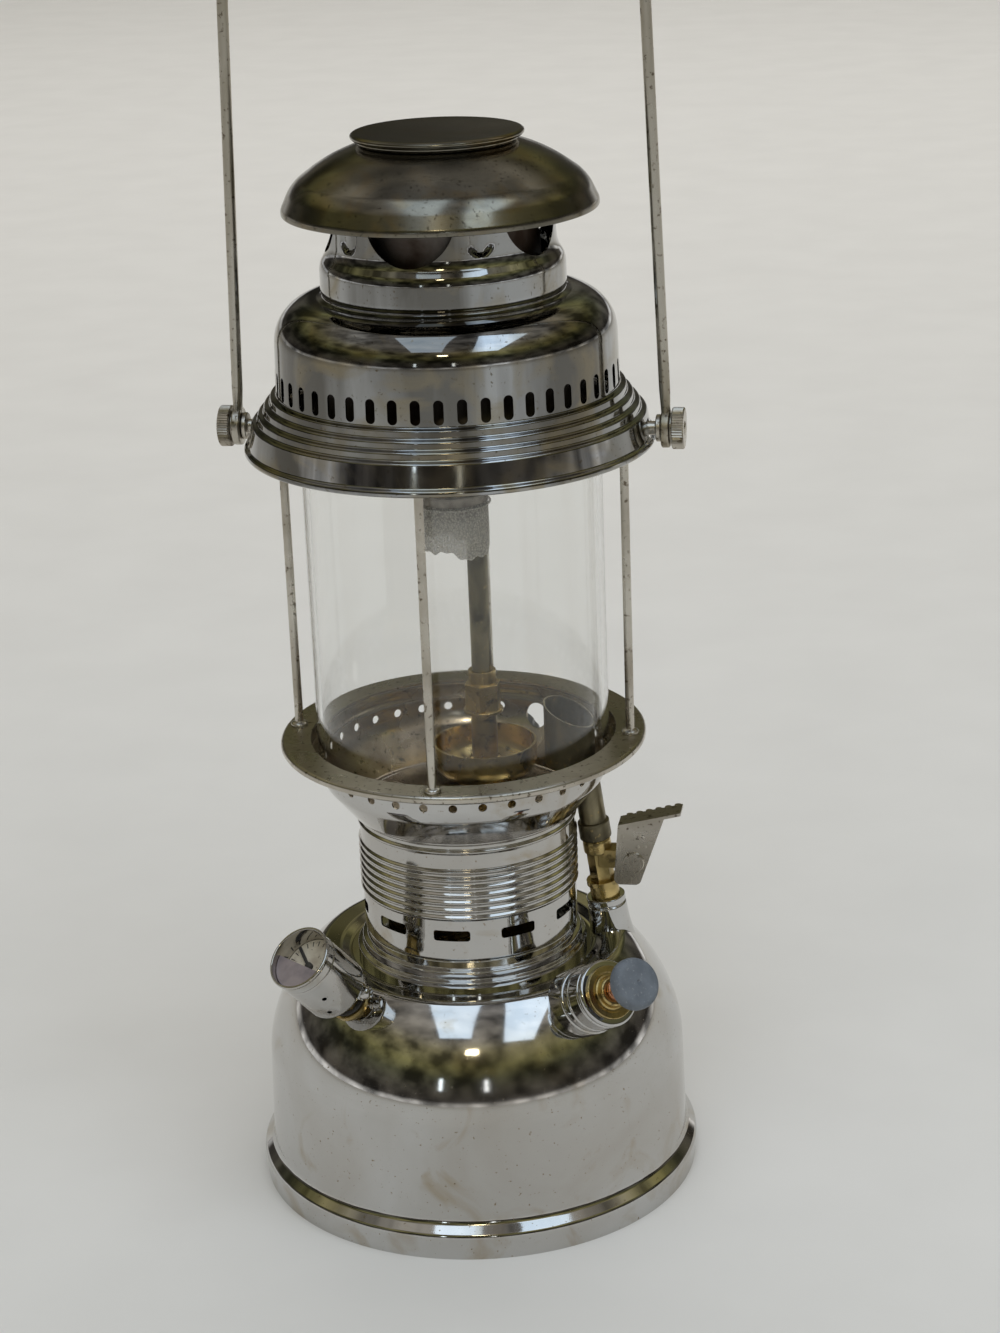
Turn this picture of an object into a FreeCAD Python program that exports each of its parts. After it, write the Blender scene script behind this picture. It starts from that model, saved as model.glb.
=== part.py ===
"""A kerosene pressure lantern, in millimetres, +Z up.

The origin is on the tank's axis in the plane it stands on. The bail swings about a line along X, and
-Y is the front. A direction round the lantern is an azimuth in degrees, from the front towards +X.
"""
import FreeCAD, Part
import math
import os

Vector = FreeCAD.Vector
UP = Vector(0, 0, 1)

# Clearances shared by the fits.
RUN_FIT = 0.08
FREE_GAP = 0.3
FLAT_GAP = 0.1

# How far a cutting tool runs past the face that it leaves by.
OVERRUN = 1.0

# Limits of the profile rounding: the share of a side that a bend may use, and the smallest bend and edge.
SIDE_SHARE = 0.49
DOME_SHARE = 0.95
LEAST_BEND = 0.1
LEAST_EDGE = 0.000001
STRAIGHT = 0.001

# Tank: spun sheet, with a foot bead, a nearly straight wall, a round shoulder and a low crown.
TANK_SHEET = 0.8
FOOT_R = 85.0
FOOT_H = 9.5
FOOT_DRAFT = 0.7
FOOT_STEP = 4.0
FOOT_LIP = 1.5
WALL_R = 81.0
SHOULDER_R = 79.2
SHOULDER_Z = 80.6
SHOULDER_BEND = 40.0
CROWN_R = 50.5
CROWN_Z = 91.0
SEAT_R = 47.0
SEAT_DROP = 1.8
MOUTH_R = 26.0
FLOOR_RISE = 18.0
FLOOR_EDGE_R = 60.0
FLOOR_EDGE_Z = 13.0
BEND_SMALL = 0.8
BEND_FOOT = 2.0
BEND_FLOOR = 30.0

# Neck: a stepped ring that carries the burner.
NECK_H = 11.0
NECK_STEPS = 3
NECK_R = 44.0
NECK_STEP = 1.95
NECK_WALL = 3.0
NECK_PLATE = 2.0

# Collar: a ribbed cylinder with a row of air slots.
SHEET = 0.7
COLLAR_R = 40.7
COLLAR_H = 48.3
RIB_COUNT = 7
RIB_PITCH = 3.07
RIB_FIRST = 17.3
RIB_PROUD = 1.1
BEAD_GAP = 3.5
SLOT_COUNT = 10
SLOT_H = 4.2
SLOT_W = 13.8
SLOT_RISE = 8.0

# Gallery: a pierced bowl, the glass seat at its brim and the flat ring round it.
BOWL_FOOT_R = 42.6
BOWL_WALL_R = 54.4
BOWL_CONE_H = 13.7
BOWL_H = 21.8
SEAT_OUT = 3.5
BRIM_H = 4.9
BRIM_OUT = 4.1
BOWL_BEND = 8.0
AIR_HOLE_COUNT = 32
AIR_HOLE_D = 3.0
AIR_HOLE_DROP = 3.4
LIGHT_HOLE_D = 9.6
LIGHT_HOLE_DROP = 5.6
LIGHT_HOLE_STEPS = 14
RING_LAND = 5.4
RING_SHEET = 1.0
RING_ROLL_R = 1.5

# Glass: a plain straight cylinder standing on the bowl's step.
GLASS_R = 54.7
GLASS_WALL = 2.4
GLASS_H = 122.0

# Cage: four rods between the gallery ring and the top ring that carries the bail's studs.
ROD_COUNT = 4
ROD_D = 3.2
ROD_PITCH_R = 63.0
ROD_FOOT_D = 6.4
ROD_FOOT_H = 1.6
CAGE_H = 120.5
CAGE_SHEET = 1.2
CAGE_LAND_IN = 5.0
CAGE_LAND_OUT = 4.4
CAGE_BAND_H = 8.0
PIVOT_DROP = 3.7

# Bail pivots, from the hood outwards: shoulder, eye of the bail, washer, knurled nut.
STUD_D = 5.0
SHOULDER_D = 10.0
STUD_REACH = 7.5
SHOULDER_W = 2.0
EYE_D = 14.0
EYE_W = 3.0
WASHER_D = 11.0
WASHER_W = 0.6
NUT_D = 15.0
NUT_W = 4.4
STUD_PROUD = 0.5
WIRE_D = 4.0
BAIL_INSET = 0.9
BAIL_STRAIGHT = 151.0
EYE_NECK = 4.0

# Hood: rolled rim, four low steps, slotted bell, beaded waist, neck with five windows.
HOOD_SHEET = 0.7
RIM_GAP = 5.9
RIM_ROLL_R = 1.3
RIM_DROP = 7.9
SKIRT_INSET = 2.0
SKIRT_TOP = 2.1
STEP_COUNT = 4
STEP_IN = 2.4
STEP_H = 3.2
STEP_DRAFT = 0.3
BELL_R = 61.0
BELL_TOP = 45.7
BELL_BEND = 14.5
WAIST_R = 45.4
WAIST_TOP = 45.9
GROOVE_DEPTH = 2.1
GROOVE_H = 0.8
BAND_PROUD = 0.6
BAND_LOW = 49.0
BAND_TOP = 58.0
BAND_BEND = 2.0
NECK_FOOT_R = 40.9
NECK_FOOT = 63.0
NECK_TOP_R = 40.0
HOOD_SLOT_COUNT = 48
HOOD_SLOT_W = 3.5
HOOD_SLOT_H = 8.7
HOOD_SLOT_RISE = 13.0
WINDOW_COUNT = 5
WINDOW_R = 16.0
WINDOW_RISE = 78.3
WINDOW_AZ = -6.0
NOTCH_W = 6.4
NOTCH_H = 3.2

# Cap and lid over the hood's neck.
CAP_SHEET = 0.8
CAP_R = 56.3
CAP_EDGE = 76.5
CAP_ROLL_R = 1.0
CAP_SIDE_R = 52.3
CAP_SIDE = 86.0
CAP_SIDE_BEND = 9.0
CAP_TOP_R = 40.5
CAP_TOP = 94.5
CAP_TOP_BEND = 20.0
CAP_MOUTH_R = 27.5
CAP_MOUTH = 99.6
LID_R = 30.9
LID_H = 3.7
LID_GROOVE = 1.3
LID_SEAT_R = 28.6

# Inner chamber, bracket and burner pipe, which lift out with the hood.
CHAMBER_SHEET = 0.6
CHAMBER_BASE_R = 50.0
CHAMBER_CONE_R = 38.0
CHAMBER_CONE = 30.0
CHAMBER_TOP_R = 34.0
CHAMBER_TOP = 72.0
BRACKET_LAND = 2.5
BRACKET_T = 1.2
BRACKET_HALF = 54.0
PIPE_R = 9.0
PIPE_WALL = 1.0
PIPE_BOTTOM = 33.0
PIPE_TOP = 6.0
MIX_R = 7.0
MIX_WALL = 0.8
MIX_RISE = 20.5
MIX_MOUTH = 7.5
NOZZLE_R = 12.5
NOZZLE_H = 9.0
NOZZLE_GRIP = 3.0
MANTLE_SHEET = 0.4
MANTLE_H = 22.0
TEAR_SLANT = 12.0
TIE_R = 0.45
TIE_DROP = 4.5

# Burner column, on its own vertical axis beside the lantern's.
GEN_X = 4.0
GEN_Y = 22.0
BASE_PLATE_R = 32.0
BASE_PLATE_T = 3.0
POST_R = 8.0
STEM_R = 5.0
STEM_TOP = 27.8
CORE_R = 1.9
PICKUP_R = 3.0
PICKUP_WALL = 0.7
PICKUP_CLEAR = 3.0
CUP_R = 20.0
CUP_H = 13.2
CUP_SHEET = 0.8
CUP_FOOT_R = 12.5
CUP_FOOT_H = 2.0
CUP_BEND = 4.0
CUP_HUB_R = 9.5
CUP_HUB_H = 7.0
GEN_RING_R = 7.6
GEN_RING_T = 1.5
GEN_NUT_R = 7.2
GEN_NUT_H = 15.5
GEN_TUBE_R = 3.9
LOOP_TUBE_R = 3.0
LOOP_DROP = 13.5
GEN_TOP = 0.5
JET_R = 3.4
JET_H = 8.0
JET_TIP_R = 1.6

# Control: a horizontal spindle to a handwheel behind the collar.
CONTROL_RISE = 41.8
SPINDLE_R = 2.5
GLAND_R = 6.0
GLAND_L = 8.0
GLAND_HOLE = 1.0
WHEEL_R = 14.0
WHEEL_W = 6.0
WHEEL_HUB_R = 6.5
WHEEL_INSET = 2.0
NEEDLE_ROD_R = 1.0
NEEDLE_R = 0.25
NEEDLE_LEN = 5.0
NEEDLE_PLAY = 0.4
NEEDLE_LIFT = 2.5

# Pump: a barrel sunk through the shoulder, leaning outwards.
PUMP_AZ = 48.5
PUMP_LEAN = 31.0
PUMP_INSET = 4.2
PUMP_RISE = 12.2
BARREL_R = 9.5
BARREL_WALL = 0.8
BARREL_L = 102.0
BARREL_END = 2.0
BOSS_R = 13.0
BOSS_L = 10.0
CAP_KNURL_R = 12.5
CAP_HALF = 6.0
CAP_WALL = 3.0
BUSH_R = 9.9
BUSH_T = 1.0
BUSH_BOSS_R = 5.5
BUSH_BOSS_H = 2.5
ROD_R = 3.0
SLEEVE_R = 4.0
KNOB_R = 9.5
KNOB_T = 6.0
KNOB_BASE = 19.4
PISTON_R = 7.6
PISTON_T = 2.5
LEATHER_T = 4.0
LEATHER_WALL = 1.5
PISTON_NUT_R = 4.5
PISTON_NUT_T = 3.0
PISTON_START = 10.0
VALVE_R = 4.0
VALVE_L = 8.0
VALVE_BORE_R = 1.0

# Filler: a leaning neck on the shoulder, closed by a cap that holds the pressure gauge.
GAUGE_AZ = -36.4
GAUGE_LEAN = 48.0
GAUGE_OUT = 7.3
GAUGE_RISE = 32.8
CASE_R = 12.4
CASE_WALL = 0.9
CASE_L = 26.0
CASE_CONE = 2.0
CASE_ROLL_R = 0.7
CASE_NECK_R = 7.0
DIAL_DROP = 8.0
DIAL_T = 0.6
MASK_DROP = 2.6
MASK_T = 0.6
MASK_SHIFT = 1.5
POINTER_L = 10.0
POINTER_W = 1.2
POINTER_T = 0.4
POINTER_HUB_R = 1.4
POINTER_LIFT = 1.2
POINTER_TURN = 150.0
FILLER_NUT_R = 6.4
FILLER_NUT_L = 5.0
FILLER_STEM_R = 5.0
FILLER_STEM_L = 7.0
GASKET_R = 7.0
GASKET_T = 1.0
FILLER_R = 8.0
FILLER_L = 12.0
RELEASE_R = 1.6
RELEASE_HEAD_R = 2.6
RELEASE_HEAD_L = 4.0
RELEASE_OUT = 8.0
RELEASE_TURN = 25.0

# Torch: a pre-heater on the crown whose flame tube opens inside the bowl.
TORCH_AZ = 108.0
TORCH_LEAN = 97.4
TORCH_GAP = 13.6
TORCH_BOSS_R = 11.5
TORCH_BOSS_MID_R = 8.0
TORCH_FLARE = 12.0
TORCH_BOSS_TOP_R = 7.5
TORCH_BOSS_H = 11.0
TORCH_SINK = 12.0
TORCH_BODY_R = 5.6
TORCH_BODY_H = 5.0
TORCH_FLANGE_R = 6.4
TORCH_FLANGE_T = 2.0
TORCH_HEX_R = 4.7
TORCH_HEX_H = 11.5
TORCH_CHROME_H = 3.5
TORCH_COLLAR_R = 6.1
TORCH_COLLAR_H = 7.0
TORCH_NUT_R = 5.4
TORCH_NUT_H = 6.0
TORCH_SPIGOT_R = 3.4
TORCH_BORE_R = 2.2
TORCH_TUBE_R = 5.1
TORCH_TUBE_WALL = 0.8
TORCH_TUBE_IN = 1.5
FLAME_R = 9.8
FLAME_SHEET = 0.6
FLAME_AXIS_R = 40.6
FLAME_LOW = 11.5
FLAME_HIGH = 20.5
FLAME_SLANT = 24.0
ARM_HALF = 3.6
ARM_D = 8.0
PIVOT_OUT = 14.3
PIVOT_RISE = 31.4
LEVER_T = 1.2
LEVER_BACK = 1.0
LEVER_W = 18.1
LEVER_FOOT_W = 10.0
LEVER_LEFT = 5.8
LEVER_UP = 15.0
LEVER_DOWN = 9.4
LEVER_SWEEP = 2.2
LEVER_BEND = 2.5
LIP_DEPTH = 9.6
LIP_SLOPE = 13.4
LIP_OUT = 5.9
TOOTH_COUNT = 6
TOOTH_R = 1.4
TOOTH_PITCH = 3.7
RIVET_R = 1.7
RIVET_HEAD_R = 4.0
RIVET_HEAD_T = 0.9

# Levels that follow from the sizes above.
SEAT_Z = CROWN_Z - SEAT_DROP
NECK_Z = SEAT_Z + NECK_H
COLLAR_Z = NECK_Z + COLLAR_H
BOWL_Z = COLLAR_Z + SHEET
STEP_Z = COLLAR_Z + BOWL_H
BRIM_Z = STEP_Z + BRIM_H
RING_Z = BRIM_Z + SHEET + RING_SHEET
RING_R = ROD_PITCH_R + RING_LAND
CAGE_RING_IN = ROD_PITCH_R - CAGE_LAND_IN
CAGE_RING_OUT = ROD_PITCH_R + CAGE_LAND_OUT
SHOULDER_IN = CAGE_RING_OUT + STUD_REACH
BAIL_TOP_X = SHOULDER_IN - BAIL_INSET
RIM_R = CAGE_RING_OUT + RIM_GAP
SKIRT_R = RIM_R - SKIRT_INSET
CAGE_Z = RING_Z + CAGE_H
PIVOT_Z = CAGE_Z - PIVOT_DROP
HOOD_Z = CAGE_Z
RING_IN = BOWL_WALL_R + SEAT_OUT
GLASS_Z = STEP_Z + SHEET + FLAT_GAP
COLUMN_Z = NECK_Z + SHEET
STEM_Z = COLLAR_Z + STEM_TOP
CONTROL_Z = NECK_Z + CONTROL_RISE
CHAMBER_Z = CAGE_Z + 2 * FLAT_GAP
NOZZLE_Z = CAGE_Z - PIPE_BOTTOM - NOZZLE_GRIP
GEN_TOP_Z = CAGE_Z + GEN_TOP
TORCH_R = COLLAR_R + TORCH_GAP
WHEEL_OUT = FOOT_R - WHEEL_W - WHEEL_INSET


def around(radius, azimuth, height):
    """The point at a radius, an azimuth and a height."""
    turn = math.radians(azimuth)
    return Vector(radius * math.sin(turn), -radius * math.cos(turn), height)


def leaning(radius, height, azimuth, lean):
    """A local frame: Z leans outwards at an elevation, X runs round the lantern, Y completes them."""
    turn, rise = math.radians(azimuth), math.radians(lean)
    x = Vector(math.cos(turn), math.sin(turn), 0)
    z = Vector(math.sin(turn) * math.cos(rise), -math.cos(turn) * math.cos(rise), math.sin(rise))
    y = z.cross(x)
    at = around(radius, azimuth, height)
    matrix = FreeCAD.Matrix(x.x, y.x, z.x, at.x, x.y, y.y, z.y, at.y, x.z, y.z, z.z, at.z, 0, 0, 0, 1)
    return FreeCAD.Placement(matrix)


def placed(shape, placement):
    """A copy of the shape in another frame."""
    moved = shape.copy()
    moved.Placement = placement.multiply(shape.Placement)
    return moved


def cylinder(radius, low, high, x=0.0, y=0.0):
    """A cylinder along Z between two heights."""
    return Part.makeCylinder(radius, high - low, Vector(x, y, low), UP)


def tube(outer, inner, low, high, x=0.0, y=0.0):
    """A cylinder with a bore."""
    return cylinder(outer, low, high, x, y).cut(cylinder(inner, low - OVERRUN, high + OVERRUN, x, y))


def across(radius, start, direction, length):
    """A cylinder from a point in a direction."""
    return Part.makeCylinder(radius, length, start, direction)


def hexagon(radius, low, high):
    """A six-sided prism along Z, its corners at the radius."""
    corners = [around(radius, 60 * side, low) for side in range(7)]
    return Part.Face(Part.makePolygon(corners)).extrude(UP * (high - low))


def unit(a, b):
    """The direction from one profile point to another, and their distance."""
    length = math.hypot(b[0] - a[0], b[1] - a[1])
    return (b[0] - a[0]) / length, (b[1] - a[1]) / length, length


def section(points):
    """A closed face in the XZ plane from (radius, height, bend, share) corners, each rounded to its bend.

    The share is how much of the sides next to it the bend may take up.
    """
    count = len(points)
    tangents = []
    for index, point in enumerate(points):
        bend = point[2] if len(point) > 2 else 0.0
        before, after = points[index - 1], points[(index + 1) % count]
        ux, uz, ulen = unit(point, before)
        vx, vz, vlen = unit(point, after)
        half = math.acos(max(-1.0, min(1.0, ux * vx + uz * vz))) / 2
        corner = Vector(point[0], 0, point[1])
        if bend <= 0 or half > math.pi / 2 - STRAIGHT:
            tangents.append((corner, None, corner))
            continue
        share = point[3] if len(point) > 3 else SIDE_SHARE
        reach = min(bend / math.tan(half), share * ulen, share * vlen)
        bend = reach * math.tan(half)
        middle = Vector(ux + vx, 0, uz + vz).normalize()
        top = corner + middle * (bend / math.sin(half) - bend)
        tangents.append((corner + Vector(ux, 0, uz) * reach, top, corner + Vector(vx, 0, vz) * reach))
    edges = []
    for index, (first, top, last) in enumerate(tangents):
        if top is not None:
            edges.append(Part.Arc(first, top, last).toShape())
        start = tangents[(index + 1) % count][0]
        if last.distanceToPoint(start) > LEAST_EDGE:
            edges.append(Part.LineSegment(last, start).toShape())
    return Part.Face(Part.Wire(edges))


def turned(points):
    """A solid of revolution about Z from a closed outline."""
    return section(points).revolve(Vector(0, 0, 0), UP, 360)


def sheet_outline(path, wall):
    """The closed outline of a sheet whose outer face follows the path, with its wall to the left."""
    inner = []
    for index, point in enumerate(path):
        bend = point[2] if len(point) > 2 else 0.0
        sides = []
        if index > 0:
            dx, dz, _ = unit(path[index - 1], point)
            sides.append((dx, dz))
        if index < len(path) - 1:
            dx, dz, _ = unit(point, path[index + 1])
            sides.append((dx, dz))
        if len(sides) == 1:
            dx, dz = sides[0]
            end = (point[0] - dz * wall, point[1] + dx * wall)
            if point[0] == 0:
                end = (0, point[1] + wall / dx)
            inner.append(end)
            continue
        (ax, az), (bx, bz) = sides
        scale = wall / (1 + ax * bx + az * bz)
        turning = ax * bz - az * bx
        inner_bend = bend - wall if turning > 0 else bend + wall
        if bend <= 0 or inner_bend < LEAST_BEND:
            inner_bend = 0.0
        moved = (point[0] - (az + bz) * scale, point[1] + (ax + bx) * scale, inner_bend)
        inner.append(moved + tuple(point[3:]))
    return list(path) + inner[::-1]


def spun(path, wall):
    """A spun sheet shell about Z whose outer face follows the path."""
    return turned(sheet_outline(path, wall))


def roll(radius, height, thick):
    """A rolled edge: a round ring about Z."""
    return Part.makeTorus(radius, thick, Vector(0, 0, height), UP)


def joined(shapes):
    """One solid from shapes that meet."""
    return shapes[0].fuse(shapes[1:]).removeSplitter()


def crown_height(radius):
    """The height of the tank's domed crown at a radius."""
    corner = (SHOULDER_R, SHOULDER_Z)
    down_x, down_z, _ = unit(corner, (WALL_R, FOOT_H + FOOT_STEP))
    in_x, in_z, _ = unit(corner, (CROWN_R, CROWN_Z))
    half = math.acos(down_x * in_x + down_z * in_z) / 2
    reach = SHOULDER_BEND / math.tan(half)
    centre_x = SHOULDER_R + in_x * reach - in_z * SHOULDER_BEND
    centre_z = SHOULDER_Z + in_z * reach + in_x * SHOULDER_BEND
    return centre_z + math.sqrt(SHOULDER_BEND ** 2 - (radius - centre_x) ** 2)


PUMP = leaning(SHOULDER_R - PUMP_INSET, SHOULDER_Z + PUMP_RISE, PUMP_AZ, PUMP_LEAN)
GAUGE = leaning(SHOULDER_R + GAUGE_OUT, SHOULDER_Z + GAUGE_RISE, GAUGE_AZ, GAUGE_LEAN)
TORCH = leaning(TORCH_R, crown_height(TORCH_R), TORCH_AZ, TORCH_LEAN)


# Tank.

def tank_shell():
    path = [
        (FOOT_R - FOOT_DRAFT, 0),
        (FOOT_R - FOOT_DRAFT, FOOT_LIP),
        (FOOT_R, FOOT_H, BEND_FOOT),
        (WALL_R, FOOT_H + FOOT_STEP, BEND_FOOT),
        (SHOULDER_R, SHOULDER_Z, SHOULDER_BEND, DOME_SHARE),
        (CROWN_R, CROWN_Z, BEND_FOOT),
        (SEAT_R, SEAT_Z, BEND_SMALL),
        (MOUTH_R, SEAT_Z),
    ]
    shell = spun(path, TANK_SHEET)
    barrel_hole = placed(cylinder(BARREL_R, -BARREL_L / 2, 0), PUMP)
    boss_hole = placed(cylinder(BOSS_R, -CAP_HALF - BOSS_L, 0), PUMP)
    bottom = CASE_L + CASE_CONE
    filler_hole = placed(cylinder(FILLER_R, -bottom - FILLER_L - FILLER_NUT_L, -bottom), GAUGE)
    torch_hole = placed(cylinder(PICKUP_R, -TORCH_BOSS_H, TORCH_BOSS_H), TORCH)
    return shell.cut([barrel_hole, boss_hole, filler_hole, torch_hole])


def tank_bottom():
    edge = FOOT_R - FOOT_DRAFT - TANK_SHEET
    path = [
        (edge, FOOT_LIP),
        (edge, FOOT_H, BEND_FOOT),
        (FLOOR_EDGE_R, FLOOR_EDGE_Z, BEND_FLOOR),
        (0, FLOOR_RISE),
    ]
    return spun(path, TANK_SHEET)


def tank_neck():
    rise = NECK_H / NECK_STEPS
    outline = [(NECK_R, SEAT_Z)]
    for step in range(NECK_STEPS):
        radius = NECK_R - step * NECK_STEP
        top = SEAT_Z + (step + 1) * rise
        outline.append((radius, top - BEND_SMALL / 2, BEND_SMALL))
        outline.append((radius - NECK_STEP, top, BEND_SMALL / 2))
    outline[-1] = (NECK_R - NECK_STEPS * NECK_STEP, NECK_Z)
    inside = NECK_R - NECK_STEPS * NECK_STEP - NECK_WALL
    outline += [(0, NECK_Z), (0, NECK_Z - NECK_PLATE), (inside, NECK_Z - NECK_PLATE), (inside, SEAT_Z)]
    return turned(outline).cut(cylinder(PICKUP_R, SEAT_Z, NECK_Z + OVERRUN, GEN_X, GEN_Y))


def pickup_tube():
    low = FLOOR_RISE + PICKUP_CLEAR
    return tube(PICKUP_R, PICKUP_R - PICKUP_WALL, low, COLUMN_Z, GEN_X, GEN_Y)


# Pump.

def pump_barrel():
    low = -CAP_HALF - BARREL_L
    bore = BARREL_R - BARREL_WALL
    outline = [
        (bore, low + BARREL_END),
        (VALVE_BORE_R, low + BARREL_END),
        (VALVE_BORE_R, low),
        (BARREL_R, low),
        (BARREL_R, -CAP_HALF - BOSS_L),
        (BOSS_R, -CAP_HALF - BOSS_L),
        (BOSS_R, -CAP_HALF - BEND_SMALL, BEND_SMALL),
        (BOSS_R - BEND_SMALL, -CAP_HALF),
        (bore, -CAP_HALF),
    ]
    return placed(turned(outline), PUMP)


def pump_check_valve():
    high = -CAP_HALF - BARREL_L
    outline = [
        (VALVE_BORE_R, high),
        (VALVE_BORE_R, high - VALVE_L),
        (VALVE_R - BEND_SMALL, high - VALVE_L),
        (VALVE_R, high - VALVE_L + BEND_SMALL),
        (VALVE_R, high),
    ]
    return placed(turned(outline), PUMP)


def pump_cap():
    top = CAP_HALF
    outline = [
        (BARREL_R - BARREL_WALL, -CAP_HALF),
        (CAP_KNURL_R - BEND_SMALL, -CAP_HALF, BEND_SMALL),
        (CAP_KNURL_R, -CAP_HALF + BEND_SMALL, BEND_SMALL),
        (CAP_KNURL_R, top - BEND_SMALL, BEND_SMALL),
        (CAP_KNURL_R - BEND_SMALL, top, BEND_SMALL),
        (SLEEVE_R + FREE_GAP, top),
        (SLEEVE_R + FREE_GAP, top - CAP_WALL),
        (BARREL_R - BARREL_WALL, top - CAP_WALL),
    ]
    return placed(turned(outline), PUMP)


def pump_bush():
    low = CAP_HALF
    outline = [
        (ROD_R + RUN_FIT, low),
        (BUSH_R, low),
        (BUSH_R, low + BUSH_T, BEND_SMALL / 2),
        (BUSH_BOSS_R, low + BUSH_T),
        (BUSH_BOSS_R, low + BUSH_T + BUSH_BOSS_H, BEND_SMALL),
        (ROD_R + RUN_FIT, low + BUSH_T + BUSH_BOSS_H),
    ]
    return placed(turned(outline), PUMP)


def piston_low():
    return -CAP_HALF - BARREL_L + BARREL_END + PISTON_START


def pump_rod():
    low = piston_low() - PISTON_NUT_T
    return placed(cylinder(ROD_R, low, KNOB_BASE), PUMP)


def pump_knob():
    stop = CAP_HALF + BUSH_T + BUSH_BOSS_H + FLAT_GAP
    outline = [
        (ROD_R, stop),
        (SLEEVE_R, stop),
        (SLEEVE_R, KNOB_BASE),
        (KNOB_R - BEND_SMALL, KNOB_BASE),
        (KNOB_R, KNOB_BASE + BEND_SMALL, BEND_SMALL),
        (KNOB_R, KNOB_BASE + KNOB_T - BEND_FOOT, BEND_FOOT),
        (KNOB_R - BEND_FOOT, KNOB_BASE + KNOB_T, BEND_FOOT),
        (0, KNOB_BASE + KNOB_T),
        (0, KNOB_BASE),
        (ROD_R, KNOB_BASE),
    ]
    return placed(turned(outline), PUMP)


def pump_piston():
    low = piston_low()
    back = low + PISTON_T + LEATHER_T
    discs = [tube(PISTON_R, ROD_R, low, low + PISTON_T), tube(PISTON_R, ROD_R, back, back + PISTON_T)]
    return placed(Part.makeCompound(discs), PUMP)


def pump_leather():
    low = piston_low() + PISTON_T
    rim = BARREL_R - BARREL_WALL - RUN_FIT
    outline = [
        (ROD_R, low + LEATHER_T),
        (ROD_R, low + LEATHER_T - LEATHER_WALL),
        (rim - LEATHER_WALL, low + LEATHER_T - LEATHER_WALL),
        (rim - LEATHER_WALL, low),
        (rim, low),
        (rim, low + LEATHER_T, LEATHER_WALL),
    ]
    return placed(turned(outline), PUMP)


def piston_nut():
    low = piston_low() - PISTON_NUT_T
    nut = hexagon(PISTON_NUT_R, low, low + PISTON_NUT_T)
    return placed(nut.cut(cylinder(ROD_R, low - OVERRUN, low + PISTON_NUT_T + OVERRUN)), PUMP)


# Filler and gauge.

def filler_neck():
    top = -CASE_L - CASE_CONE - FILLER_NUT_L - GASKET_T
    neck = tube(FILLER_R, FILLER_STEM_R + RUN_FIT, top - FILLER_L, top)
    return placed(neck, GAUGE)


def filler_gasket():
    high = -CASE_L - CASE_CONE - FILLER_NUT_L
    low = high - GASKET_T + FLAT_GAP
    return placed(tube(GASKET_R, FILLER_STEM_R + RUN_FIT, low, high - FLAT_GAP), GAUGE)


def filler_nut():
    high = -CASE_L - CASE_CONE
    head = hexagon(FILLER_NUT_R, high - FILLER_NUT_L, high)
    stem = cylinder(FILLER_STEM_R, high - FILLER_NUT_L - GASKET_T - FILLER_STEM_L, high - FILLER_NUT_L)
    nut = joined([head, stem])
    middle = high - FILLER_NUT_L / 2
    bore = across(RELEASE_R + RUN_FIT, Vector(0, 0, middle), Vector(1, 0, 0), FILLER_NUT_R * 2)
    bore.rotate(Vector(0, 0, 0), UP, RELEASE_TURN)
    return placed(nut.cut(bore), GAUGE)


def release_screw():
    middle = -CASE_L - CASE_CONE - FILLER_NUT_L / 2
    side = Vector(1, 0, 0)
    shank = across(RELEASE_R, Vector(1, 0, middle), side, RELEASE_OUT)
    head = across(RELEASE_HEAD_R, Vector(RELEASE_OUT, 0, middle), side, RELEASE_HEAD_L)
    rim = [edge for edge in head.Edges if edge.CenterOfMass.x > RELEASE_OUT + RELEASE_HEAD_L / 2]
    rim = [edge for edge in rim if edge.Curve.TypeId == "Part::GeomCircle"]
    head = head.makeFillet(RELEASE_HEAD_R / 2, rim)
    screw = joined([shank, head])
    screw.rotate(Vector(0, 0, 0), UP, RELEASE_TURN)
    return placed(screw, GAUGE)


def gauge_case():
    inside = CASE_R - CASE_WALL
    outline = [
        (CASE_R, -CASE_ROLL_R),
        (inside, -CASE_ROLL_R),
        (inside, -CASE_L + CASE_WALL),
        (0, -CASE_L + CASE_WALL),
        (0, -CASE_L - CASE_CONE),
        (CASE_NECK_R, -CASE_L - CASE_CONE),
        (CASE_R, -CASE_L, BEND_SMALL),
    ]
    return placed(joined([turned(outline), roll(CASE_R - CASE_WALL / 2, -CASE_ROLL_R, CASE_ROLL_R)]), GAUGE)


def gauge_dial():
    dial = cylinder(CASE_R - CASE_WALL, -DIAL_DROP - DIAL_T, -DIAL_DROP)
    return placed(dial, GAUGE)


def gauge_mask():
    disc = cylinder(CASE_R - CASE_WALL, -MASK_DROP - MASK_T, -MASK_DROP)
    upper = Part.makeBox(2 * CASE_R, 2 * CASE_R, 2 * MASK_DROP + MASK_T)
    upper.translate(Vector(-CASE_R, -MASK_SHIFT, -2 * MASK_DROP))
    return placed(disc.cut(upper), GAUGE)


def gauge_pointer():
    low = -DIAL_DROP + POINTER_LIFT
    blade = Part.makeBox(POINTER_L, POINTER_W, POINTER_T, Vector(0, -POINTER_W / 2, low))
    hub = cylinder(POINTER_HUB_R, -DIAL_DROP + FLAT_GAP, low + POINTER_T)
    pointer = joined([blade, hub])
    pointer.rotate(Vector(0, 0, 0), UP, POINTER_TURN)
    return placed(pointer, GAUGE)


# Burner column and control.

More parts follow.
